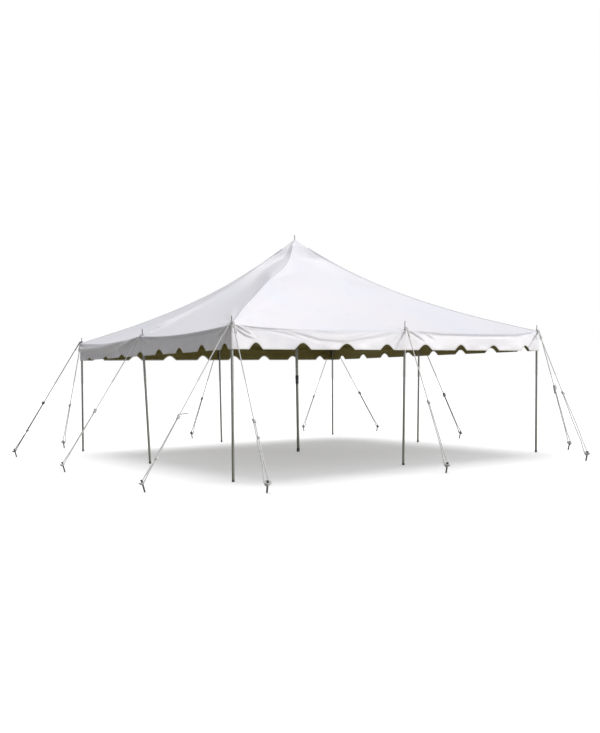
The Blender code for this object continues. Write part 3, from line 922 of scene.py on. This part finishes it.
def valanceSheet(side):
    s = skirtColumns(side)
    head = eaveLine(side, s) - skirt["headBelowEave"]
    foot = hemHeight(side, s)
    z = head + (foot - head) * np.linspace(0, 1, skirt["rows"][side])[:, None]
    over = skirtPoint(side, np.broadcast_to(s, z.shape), z)
    under = over - skirt["thickness"] * gridNormals(over, False)
    looks = ["skirt", "sunnyLining" if side == "right" else "lining"]
    sheet = closedSheet("valance_" + side + "_sheet", over, under, False, looks)
    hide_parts("valance_" + side)
    area = float(((head - foot)[1:] * np.diff(s)).sum())
    hemTape(side)


def hemTape(side):       # binding folded over the scalloped hem
    limit = plan["edge"] - skirt["inset"] - skirt["tapeGap"]
    s = np.linspace(-limit, limit, int(2 * limit / skirt["tapeStep"]))
    z = hemHeight(side, s)
    slope = np.gradient(z, s)
    size = np.hypot(1, slope)
    wide, thick, deep = skirt["tapeWidth"], skirt["tapeThickness"], skirt["thickness"]
    # one face of the fold: height over the hem, distance from the cloth, and share of the tape's width
    fold = [(wide, thick * 0.3, 1.0), (wide * 0.93, thick, 0.9), (wide * 0.5, thick, 0.5),
            (0.0006, thick, 0.05), (-0.0010, thick * 0.2, 0.0)]
    fold += [(up, -deep - lift, place) for up, lift, place in fold[::-1]]
    lines = [skirtPoint(side, s - up * slope / size, z + up / size, lift) for up, lift, place in fold]
    points, faces = np.stack(lines, axis=1).reshape(-1, 3), tubeFaces(len(s), len(fold), True)
    tape = addPiece("valance_" + side + "_hem_tape", points, faces, ["tape"])
    addAttribute(tape, "run", np.repeat(runAlong(np.stack([s, z], axis=1)), len(fold)))
    addAttribute(tape, "side", np.tile([place for up, lift, place in fold], len(s)))
    return tape


for side in sides:
    valanceSheet(side)
print("valances done")


# Crown: a doubled patch round the centre pole's pin

crown = {
    "half": 0.160, "lift": 0.0021, "thickness": 0.0024, "hole": 0.0105, "pressed": 0.0016,
    "step": (0.004, 0.10, 0.012), "corner": 0.03, "cornerFrom": 0.08,
    "slant": 1.376,      # length along the slope for each length in plan
}


def crownPatch():
    stations = steppedStations(crown["half"] - crown["hole"], *crown["step"]) + crown["hole"]
    shares = np.linspace(-1, 1, 33)[:-1]
    blocks = []
    for quarter in range(4):
        out = np.repeat(stations[:, None], len(shares), axis=1)
        radius = crown["corner"] * smoothStep(crown["cornerFrom"], crown["half"], out)
        x, y = turned(*roundedCorner(shares * out, out, radius), quarter)
        blocks.append(np.stack([x, y, clothTop(x, y)], axis=2))
    cloth = np.concatenate(blocks, axis=1)
    normals = gridNormals(cloth, True)
    normals[..., 2] = np.abs(normals[..., 2])
    over = cloth + crown["lift"] * normals
    border = over[-1:] - crown["pressed"] * normals[-1:]       # stitched, and so drawn down on the cloth
    under = np.concatenate([over - crown["thickness"] * normals, border - crown["pressed"] * normals[-1:]])
    patch = closedSheet("peak_cap_sheet", np.concatenate([over, border]), under, True, ["canopy", "lining"])
    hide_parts("peak_cap")


crownPatch()


# Turned parts: rings of points round a line that leans

def lathe(name, foot, lean, profile, around, look, hollow=False, uneven=None):
    # profile is (height, radius) from the bottom up, with a face at each end or, if hollow, joined to itself
    points = []
    for height, radius in profile:
        for k in range(around):
            angle = 2 * math.pi * k / around
            r = radius * (uneven(angle, height) if uneven else 1.0)
            points.append((foot[0] + lean[0] * height + r * math.cos(angle),
                           foot[1] + lean[1] * height + r * math.sin(angle), foot[2] + height))
    faces = loopFaces(len(profile), around, True) if hollow else tubeFaces(len(profile), around, True)
    return addPiece(name, points, faces, [look])


def turnedGroove(start, end, radius, depth, slope):       # part of a profile
    return [(start, radius), (start + slope, radius - depth), (end - slope, radius - depth), (end, radius)]


poles = {
    "radius": 0.019, "around": 32, "footRadius": 0.021,
    "shoulderDrop": 0.0079, "pinRadius": 0.007,
}


def sidePole(name):
    foot, top = ringMiddle(name), ringMiddle(name, True)
    lean = (top - foot) / (top[2] - foot[2])
    shoulder, tip = plan["eave"] - poles["shoulderDrop"], plan["eave"] + plan["pinAboveCloth"]
    r, pin, rubber = poles["radius"], poles["pinRadius"], poles["footRadius"]
    tube = [(0.0305, r - 0.0012), (0.0315, r)] + [(0.35 * i, r) for i in range(1, 6)]
    tube += turnedGroove(shoulder - 0.060, shoulder - 0.046, r, 0.0006, 0.004)
    tube += [(shoulder - 0.024, r), (shoulder - 0.016, r - 0.0014), (shoulder - 0.010, 0.0155),
             (shoulder - 0.004, 0.0128), (shoulder, 0.0108), (shoulder, pin + 0.0012),
             (shoulder + 0.002, pin), (tip - 0.010, pin), (tip - 0.004, pin - 0.001), (tip, pin - 0.0035)]
    piece = lathe(name + "_tube", foot, lean, tube, poles["around"], "pole")
    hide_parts(name)
    cap = [(0.0, rubber - 0.002), (0.0015, rubber - 0.0004), (0.004, rubber)]
    cap += turnedGroove(0.010, 0.017, rubber, 0.0008, 0.002)
    cap += [(0.028, rubber), (0.032, rubber - 0.0007), (0.034, r + 0.0002), (0.034, r - 0.0005)]
    lathe(name + "_foot", foot, lean, cap, poles["around"], "rubber")


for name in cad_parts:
    if "corner_pole" in name or "side_pole" in name:
        sidePole(name)


centre = {
    "radius": 0.0255, "around": 40, "footRadius": 0.03,
    "shoulderDrop": 0.0125, "shoulderRadius": 0.010, "pinRadius": 0.008,
}


def centrePole():
    foot = ringMiddle("centre_pole_lower")
    joint, tip = (float(corner.z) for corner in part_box("centre_pole_upper"))
    shoulder = plan["peak"] - centre["shoulderDrop"]
    r, pin, rubber, around = centre["radius"], centre["pinRadius"], centre["footRadius"], centre["around"]
    lower = [(0.066, r - 0.001), (0.067, r)] + [(0.07 + 0.32 * i, r) for i in range(1, 4)]
    lower += [(1.20, r), (joint - 0.002, r), (joint - 0.0005, r - 0.001)]
    piece = lathe("centre_pole_lower_tube", foot, (0, 0), lower, around, "pole")
    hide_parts("centre_pole_lower")
    cap = [(0.0, rubber - 0.003), (0.002, rubber - 0.0006), (0.005, rubber)]
    cap += turnedGroove(0.016, 0.026, rubber, 0.001, 0.002)
    cap += [(0.062, rubber), (0.067, rubber - 0.001), (0.070, r + 0.0004), (0.070, r - 0.0005)]
    lathe("centre_pole_foot", foot, (0, 0), cap, around, "rubber")
    upper = [(joint, r - 0.001), (joint + 0.0015, r)] + [(joint + 0.3 * i, r) for i in range(1, 8)]
    upper += turnedGroove(shoulder - 0.070, shoulder - 0.054, r, 0.0008, 0.004)
    upper += [(shoulder - 0.030, r), (shoulder - 0.020, r - 0.002), (shoulder - 0.010, 0.0180),
              (shoulder - 0.003, 0.0120), (shoulder, centre["shoulderRadius"]), (shoulder, pin + 0.001),
              (shoulder + 0.002, pin), (tip - 0.010, pin), (tip - 0.003, pin - 0.0012), (tip, pin - 0.0045)]
    piece = lathe("centre_pole_upper_tube", (foot[0], foot[1], 0), (0, 0), upper, around, "pole")
    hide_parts("centre_pole_upper")


centrePole()


sleeve = {
    "outer": 0.0305, "inner": 0.0262, "around": 40,
    "button": ((0.0, 0.006), (0.00209, 0.006), (0.00323, 0.00492), (0.0038, 0.0027)),      # outward, radius
    "buttonAround": 16, "buttonHeights": (1.315, 1.395),
}


def centreSleeve():
    low, high = (float(corner.z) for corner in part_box("centre_pole_sleeve"))
    outer, inner = sleeve["outer"], sleeve["inner"]
    profile = [(low + 0.0010, inner), (low, inner + 0.0012), (low, outer - 0.0015), (low + 0.0015, outer)]
    profile += turnedGroove(low + 0.012, low + 0.0185, outer, 0.0009, 0.0015)
    profile += turnedGroove(high - 0.0185, high - 0.012, outer, 0.0009, 0.0015)
    profile += [(high - 0.0015, outer), (high, outer - 0.0015),
                (high, inner + 0.0012), (high - 0.0010, inner)]
    piece = lathe("centre_pole_sleeve_body", (0, 0, 0), (0, 0), profile, sleeve["around"], "sleeve",
                  hollow=True)
    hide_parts("centre_pole_sleeve")


def sleeveButton(number, way, height):       # a low dome that faces out sideways
    around = sleeve["buttonAround"]
    points = []
    for outward, r in sleeve["button"]:
        for k in range(around):
            angle = 2 * math.pi * k / around
            points.append((way * (sleeve["outer"] - 0.0010 + outward), -way * r * math.cos(angle),
                           height + r * math.sin(angle)))
    faces = tubeFaces(len(sleeve["button"]), around)
    addPiece(f"centre_pole_sleeve_button_{number}", points, faces, ["pole"])


centreSleeve()
low, high = sleeve["buttonHeights"]
for number, (way, height) in enumerate(((-1, low), (-1, high), (1, low), (1, high)), 1):
    sleeveButton(number, way, height)
print("poles done")


stakes = {"around": 24, "radius": 0.0125, "headRadius": 0.018, "lean": math.tan(math.radians(15))}


def stakePiece(name):
    foot, top = ringMiddle(name), ringMiddle(name, True)
    lean = (top - foot) / (top[2] - foot[2])
    r, head = stakes["radius"], stakes["headRadius"]
    dice = np.random.default_rng(abs(int(foot[0] * 1000)) + abs(int(foot[1] * 100)))
    phase = dice.uniform(0, 6.28, 3)

    def uneven(angle, height):
        dents = 0.010 * math.sin(3 * angle + phase[0] + height * 30) + 0.008 * math.sin(5 * angle + phase[1])
        struck = 0.028 * math.sin(4 * angle + phase[2]) if height > 0.147 else 0.0
        return 0.98 + dents + struck

    profile = [(0.02 * i, r) for i in range(7)]
    profile += [(0.136, r), (0.141, r * 1.06), (0.1455, r * 1.22), (0.1495, head * 0.95), (0.152, head),
                (0.1555, head), (0.158, head * 0.95), (0.1592, head * 0.78), (float(top[2]), head * 0.55)]
    piece = lathe(name + "_rod", foot, lean, profile, stakes["around"], "stake",
                  uneven=uneven)
    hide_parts(name)


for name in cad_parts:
    if name.startswith("stake_"):
        stakePiece(name)
print("stakes done")


# Guy ropes: a three-strand rope from the pin's eye down to a stake and back up to its hitch

rope = {
    "radius": 0.0082, "around": 12, "step": 0.0060, "lay": 0.054,      # lay: length of one twist
    "groove": 0.60, "shoulder": 0.843,      # shares of the radius between two strands, and beside that
    "eyeRadius": 0.0158, "lowEye": 0.0158, "highEye": 0.0326,       # size of the eye, and height on its pin
    "lowRoute": ((0.038, 0.0050), (0.0534, -0.0104)),       # outward and up from the pin's foot
    "highRoute": ((0.027, 0.0322), (0.046, 0.0186), (0.0602, -0.0030)),
    "doubleGap": 0.0172, "eyeTail": (0.16, 0.11, 0.07, 0.035),      # the eye's short end, beside the rope
    "seizing": (0.080, 0.140), "cordRadius": 0.0014, "cordPitch": 0.0031, "cordAround": 6,
    "loadedEnd": (0.08, 0.045, 0.015), "freeStart": (0.02, 0.05, 0.09), "freeStep": 0.09,
    "legHalf": 0.0090, "loopHeight": 0.113, "wrapRise": 0.0175,
    "clear": 0.0006, "hitchClear": 0.0004, "cordClear": (0.0006, 0.0010),      # between what lies on what
    "apart": 0.040, "apartFrom": 0.30,      # the two parts of the rope stand apart at the stake
    "hitchPitch": 0.0175, "coilReach": 0.022, "coilRise": 0.040,
}
# how a rope is tied off: loose coils at the stake, where a second knot sits, how far its two parts bow
# apart, turns of the hitch, and the free end's length and way
usualTie = {"coils": 1, "second": 0, "spread": 0.003, "turns": 3.25, "tail": 0.095, "tailWay": None}
ties = {
    "front_left_1": {"second": 0.86, "tail": 0.14, "tailWay": (0.83, -0.55, 0.06), "spread": 0.006},
    "front_left_2": {"coils": 4, "second": 0.77, "tail": 0.05},
    "front": {"coils": 2, "second": 0.58, "tail": 0.04},
    "front_right_1": {"coils": 2, "spread": 0.012},
    "front_right_2": {"coils": 2, "turns": 9.25, "spread": 0.004},
    "right": {"turns": 5.25, "finish": "deepShadedRope"},
    "back_right_1": {"finish": "deepShadedRope"},
    "back": {"finish": "deepShadedRope"},
    "back_left_2": {"second": 0.85, "tail": 0.06, "finish": "deepShadedRope"},
    "back_left_1": {"finish": "rope"},
    "left": {"turns": 4.25, "tail": 0.05, "finish": "rope"},
}
guys = {      # the pole's place, where the hitch sits, and whether the eye is the upper one at its pin
    "front_left_1": ((-1, -1), 0.59, False), "front_left_2": ((-1, -1), 0.62, True),
    "front": ((0, -1), 0.55, False),
    "front_right_1": ((1, -1), 0.52, False), "front_right_2": ((1, -1), 0.50, True),
    "right": ((1, 0), 0.57, False),
    "back_right_1": ((1, 1), 0.56, False), "back_right_2": ((1, 1), 0.60, True),
    "back": ((0, 1), 0.58, False),
    "back_left_1": ((-1, 1), 0.60, False), "back_left_2": ((-1, 1), 0.56, True),
    "left": ((-1, 0), 0.59, False),
}


def smoothPath(points, step):       # a curve through the points, resampled at an even step
    points = np.array(points, float)
    gaps = np.diff(runAlong(points))[:, None]
    slopes = np.diff(points, axis=0) / np.maximum(gaps, 1e-9)
    inner = (slopes[:-1] * gaps[1:] + slopes[1:] * gaps[:-1]) / (gaps[:-1] + gaps[1:])
    tangents = np.concatenate([slopes[:1], inner, slopes[-1:]])
    fine = []
    for i, long in enumerate(gaps[:, 0]):
        parts = max(2, int(long / (step * 0.5)))
        t = (np.arange(parts) / parts)[:, None]
        share = 3 * t ** 2 - 2 * t ** 3
        leave, arrive = (t ** 3 - 2 * t ** 2 + t) * long, (t ** 3 - t ** 2) * long
        fine.append((1 - share) * points[i] + share * points[i + 1]
                    + leave * tangents[i] + arrive * tangents[i + 1])
    fine = np.concatenate([*fine, points[-1:]])
    along = runAlong(fine)
    even = np.linspace(0, along[-1], max(3, int(along[-1] / step)))
    return np.stack([np.interp(even, along, fine[:, k]) for k in range(3)], axis=1)


def waysAcross(path, hint):       # two ways across the path at each point, carried along without turning
    tangents = np.gradient(path, axis=0)
    tangents /= np.linalg.norm(tangents, axis=1, keepdims=True)
    side = np.cross(tangents[0], hint)
    ways = []
    for tangent in tangents:
        side = side - tangent * (side @ tangent)
        side = side / np.linalg.norm(side)
        ways.append((side, np.cross(tangent, side)))
    return np.array(ways)


def cordTube(name, path, hint, radii, look, grooveShade, turns=0.0):
    # radii has a row for each point of the path, with a number for each point round it
    count, around = radii.shape
    angle = 2 * math.pi * (np.arange(around) / around + turns)
    ways = waysAcross(path, hint)
    outward = ways[:, :1] * np.cos(angle)[..., None] + ways[:, 1:] * np.sin(angle)[..., None]
    points = (path[:, None] + radii[..., None] * outward).reshape(-1, 3)
    piece = addPiece(name, points, tubeFaces(count, around, True), [look], sharpAngle=75)
    addAttribute(piece, "groove", grooveShade)
    return piece


def ropeTube(name, path, look):
    strand = (1.0, rope["shoulder"], rope["groove"], rope["shoulder"])
    pattern = np.tile(strand, rope["around"] // len(strand))
    ends = np.ones((len(path), 1))
    ends[[0, -1]], ends[[1, -2]] = 0.80, 0.96       # thinner, so that they look cut
    # how much painted shade each point gets: none on a strand's crown, most at the bottom of a groove
    grooveShade = np.tile((1 - pattern) / (1 - rope["groove"]), len(path))
    turns = runAlong(path)[:, None] / rope["lay"]
    return cordTube(name, path, (0.3, 0.2, 1.0), rope["radius"] * pattern * ends, look, grooveShade, turns)


def roundWay(one, other, angle):
    return one * math.cos(angle) + other * math.sin(angle)


class GuyLine:      # where one rope runs; distances on it are counted down from the eave
    def __init__(self, name):
        spot, knotShare, upper = guys[name]
        # ropes that don't face the front get the rope copy painted with shade, unless their tie says
        # otherwise
        self.tie = {**usualTie, "finish": "rope" if "front" in name else "shadedRope", **ties.get(name, {})}
        pinFoot = Vector((spot[0] * halfSide, spot[1] * halfSide, plan["eave"]))
        stakeFoot = Vector(ringMiddle("stake_" + name))
        self.up = Vector((0, 0, 1))
        self.away = Vector((stakeFoot.x - pinFoot.x, stakeFoot.y - pinFoot.y, 0)).normalized()
        self.left = Vector((-self.away.y, self.away.x, 0))
        slant = max(abs(self.away.x), abs(self.away.y))
        route = rope["highRoute"] if upper else rope["lowRoute"]
        self.over = [pinFoot + self.away * (out / slant) + self.up * rise for out, rise in route]
        self.eye = pinFoot + self.up * (rope["highEye"] if upper else rope["lowEye"])
        self.top = self.over[-1]
        self.ring = stakeFoot + (self.away * stakes["lean"] + self.up) * rope["loopHeight"]
        whole = self.ring - self.top
        self.long, self.down = whole.length, whole.normalized()
        self.other = self.left.cross(self.down)
        self.knot = self.long * knotShare
        self.hug = stakes["radius"] + rope["radius"] + rope["clear"]       # from middle to middle

    def beside(self, distance, aside):
        return self.top + self.down * distance + self.left * float(aside)

    def halfGap(self, distance):       # half of how far the two parts are apart below the hitch
        share = float(np.clip((distance - self.knot - 0.05) / (self.long - self.knot), 0, 1))
        return rope["legHalf"] + self.tie["spread"] * math.sin(math.pi * share) ** 2

    def nearStake(self, distance):
        return smoothStep(self.long - rope["apartFrom"], self.long, distance)

    def loaded(self, distance):       # middle of the loaded part, which is straight above the hitch
        wide = self.halfGap(distance)
        share = smoothStep(self.knot - 0.01, self.knot + 0.05, distance)
        return self.beside(distance, wide * share + (self.hug - wide) * self.nearStake(distance))

    def free(self, distance):       # middle of the part that comes back up from the stake
        wide = self.halfGap(distance)
        return self.beside(distance, -wide - (rope["apart"] - wide) * self.nearStake(distance))

    def eyePoints(self):       # the short end, then over the eave, round the pin and back over the eave
        left, away, gap, r = self.left, self.away, rope["doubleGap"], rope["eyeRadius"]
        points = [self.beside(distance, gap) + self.other * 0.001 for distance in rope["eyeTail"]]
        points += [point + left * gap for point in self.over[::-1]]
        points.append(self.eye + left * r + away * 0.004)
        points += [self.eye + roundWay(left, -away, math.pi * turn / 8) * r for turn in range(1, 8)]
        points.append(self.eye - left * r * 0.98 + away * 0.004)
        points.append(self.over[0] - left * 0.002)
        return points + self.over[1:]

    def loadedPoints(self):
        stations = [0.03 + (self.long - 0.10) / 26 * step for step in range(1, 26)]
        stations += [self.long - short for short in rope["loadedEnd"]]
        return [self.loaded(distance) for distance in stations]

    def stakePoints(self):       # one and a half turns round the stake, then the spare rope, hung loosely
        axis = (self.away * stakes["lean"] + self.up).normalized()
        forward = self.left.cross(axis).normalized()
        points = []
        for step in range(25):
            angle = math.pi * step / 8
            level = (0.5 - step / 24) * rope["wrapRise"] * 1.6
            points.append(self.ring + axis * level + roundWay(self.left, forward, angle) * self.hug)
        coils = self.tie["coils"]
        for step in range(1, coils * 12):
            share = step / (coils * 12)
            angle = math.pi * (3 + 2 * coils * share)
            loose = math.sin(math.pi * share) ** 0.5 * (1 + 0.25 * math.sin(2.3 * angle))
            level = rope["coilRise"] * loose - 0.8 * rope["wrapRise"] - 0.012 * share
            reach = self.hug + rope["coilReach"] * loose
            points.append(self.ring + roundWay(self.left, forward, angle) * reach + axis * level)
        return points

    def wound(self, low, turns):       # turns of the free part round the loaded one, going up
        points = []
        for step in range(int(turns * 10) + 1):
            outward = roundWay(self.left, self.other, math.pi + 2 * math.pi * step / 10)
            middle = self.loaded(low - rope["hitchPitch"] * step / 10)
            points.append(middle + outward * (2 * rope["radius"] + rope["hitchClear"]))
        return points, outward

    def freePoints(self):       # back up to the hitch, round it, and the free end
        tie, pitch = self.tie, rope["hitchPitch"]
        hitchEnd = self.knot + 0.045 + 0.5 * pitch * (tie["turns"] - usualTie["turns"])
        points = [self.free(self.long - short) for short in rope["freeStart"]]
        distance, second = self.long - 0.16, tie["second"] * self.long
        while distance > hitchEnd + 0.03:
            if distance < second:
                points += self.wound(distance, 2)[0]
                distance -= pitch * 2 + 0.02
                second = 0
            points.append(self.free(distance))
            distance -= rope["freeStep"]
        points.append(self.free(hitchEnd + 0.012))
        hitch, outward = self.wound(hitchEnd, tie["turns"])
        points += hitch
        for share in (0.25, 0.55, 0.8, 1.0):
            run = tie["tail"] * share
            if tie["tailWay"]:       # a stiff free end stands out, and the others droop
                points.append(hitch[-1] + outward * 0.008 * share + Vector(tie["tailWay"]) * run)
            else:
                droop = outward * 0.42 + self.down * 0.25 - self.up * 0.75 * share
                points.append(hitch[-1] + droop * run)
        return points

    def seizingPoints(self):       # thin cord wound round both parts of the eye
        first, end = rope["seizing"]
        half, r = rope["doubleGap"] / 2, rope["radius"]
        wide, deep = rope["cordClear"]
        sideways, forward = self.left * (half + r + wide), self.other * (r + deep)
        count = int((end - first) / rope["cordPitch"]) * 12
        points = []
        for step in range(count + 1):
            middle = self.beside(first + (end - first) * step / count, half)
            points.append(middle + roundWay(sideways, forward, 2 * math.pi * step / 12))
        return points


def guyRope(name):
    line = GuyLine(name)
    points = line.eyePoints() + line.loadedPoints() + line.stakePoints() + line.freePoints()
    path = smoothPath(points, rope["step"])
    piece = ropeTube("guy_rope_" + name + "_lay", path, line.tie["finish"])
    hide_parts("guy_rope_" + name)
    binding = np.array(line.seizingPoints())
    radii = np.full((len(binding), rope["cordAround"]), rope["cordRadius"])
    # the thin cord gets a steady share of painted groove shade all over
    grooveShade = np.full(radii.size, 0.35)
    cordTube("guy_rope_" + name + "_seizing", binding, (0.1, 0.9, 0.3), radii, "rope", grooveShade)
    return round(float(runAlong(path)[-1]), 2)


print("ropes, in metres:", [guyRope(name) for name in guys])


# Stage

camera = {
    "place": (-8.294, -12.535, 1.4185),
    "turn": 33.63, "tilt": -4.517, "roll": -0.962,      # degrees
    "lens": 39.376, "shiftUp": 0.0994,
}


def addCamera():
    data = bpy.data.cameras.new("camera")
    data.lens = camera["lens"]
    data.shift_y = camera["shiftUp"]
    turn, tilt, roll = (math.radians(camera[key]) for key in ("turn", "tilt", "roll"))
    ahead = Vector((math.sin(turn) * math.cos(tilt), math.cos(turn) * math.cos(tilt), math.sin(tilt)))
    right = Vector((math.cos(turn), -math.sin(turn), 0))
    up = right.cross(ahead)
    right, up = (right * math.cos(roll) + up * math.sin(roll), up * math.cos(roll) - right * math.sin(roll))
    facing = Matrix((right, up, -ahead)).transposed().to_4x4()
    made = addObject("camera", data)
    made.matrix_world = Matrix.Translation(camera["place"]) @ facing
    bpy.context.scene.camera = made


stage = {
    "floorHalf": 300.0, "floorColour": (0.86, 0.86, 0.87), "floorGlow": 0.30,
    "skyHigh": (0.47, 0.47, 0.485), "skyLow": (0.275, 0.282, 0.288), "ground": (0.12, 0.118, 0.10),
    "farGlow": (0.80, 0.80, 0.83),      # a low bright sky beyond the tent, which the roof mirrors
    "backdrop": (1.0, 1.0, 1.0),
}
lights = {      # way to each light, its strength, and its width in degrees
    "topLight": ((0.12, 0.40, 1.0), 2.00, 45),
    "frontLight": ((0.70, -0.72, 0.18), 1.85, 15),
    "lowLight": ((0.20, -1.0, -0.12), 0.50, 25),
}


def addSun(name, toLight, strength, softness):
    data = bpy.data.lights.new(name, "SUN")
    data.energy = strength
    data.angle = math.radians(softness)
    made = addObject(name, data)
    made.rotation_mode = "QUATERNION"
    made.rotation_quaternion = Vector(toLight).normalized().to_track_quat("Z", "Y")


def addWorld():
    world = bpy.data.worlds.new("softSky")
    world.use_nodes = True
    bpy.context.scene.world = world
    start = Sock(world.node_tree)
    place = start.node("ShaderNodeTexCoord", result="Generated")
    east, north, up = start.node("ShaderNodeSeparateXYZ", {}, {0: place}).parts()
    beyond = (east * 0.34 + north * 0.94).between(0.62, 0.97) * (1 - up.between(0.10, 0.40))
    sky = up.between(0.0, 1.0).blend(stage["skyLow"], stage["skyHigh"])
    sky = beyond.blend(sky, stage["farGlow"])
    light = up.between(-0.02, 0.02).blend(stage["ground"], sky)
    colour = start.node("ShaderNodeLightPath", result="Is Camera Ray").blend(light, stage["backdrop"])
    start.tree.links.new(colour.out, start.tree.nodes["Background"].inputs["Color"])


def addFloor():
    half = stage["floorHalf"]
    mesh = bpy.data.meshes.new("floor")
    corners = [(-half, -half, 0), (half, -half, 0), (half, half, 0), (-half, half, 0)]
    mesh.from_pydata(corners, [], [range(4)])
    finish = Finish("paleFloor", {"Roughness": 0.9, "Emission Color": (1, 1, 1, 1),
                                  "Emission Strength": stage["floorGlow"]})
    grain = finish.noise(0.8, 2).between(0.3, 0.7)
    low, high = (tuple(c * share for c in stage["floorColour"]) for share in (0.985, 1.0))
    mesh.materials.append(finish.feed(grain.blend(low, high)))
    floor = addObject("floor", mesh)
    floor.visible_diffuse = False       # the bright floor isn't to light the cloth from below
    floor.visible_shadow = False


addCamera()
addWorld()
addFloor()
for name, words in lights.items():
    addSun(name, *words)
bpy.context.scene.view_settings.view_transform = "Standard"
bpy.context.scene.view_settings.look = "None"
print("stage done")
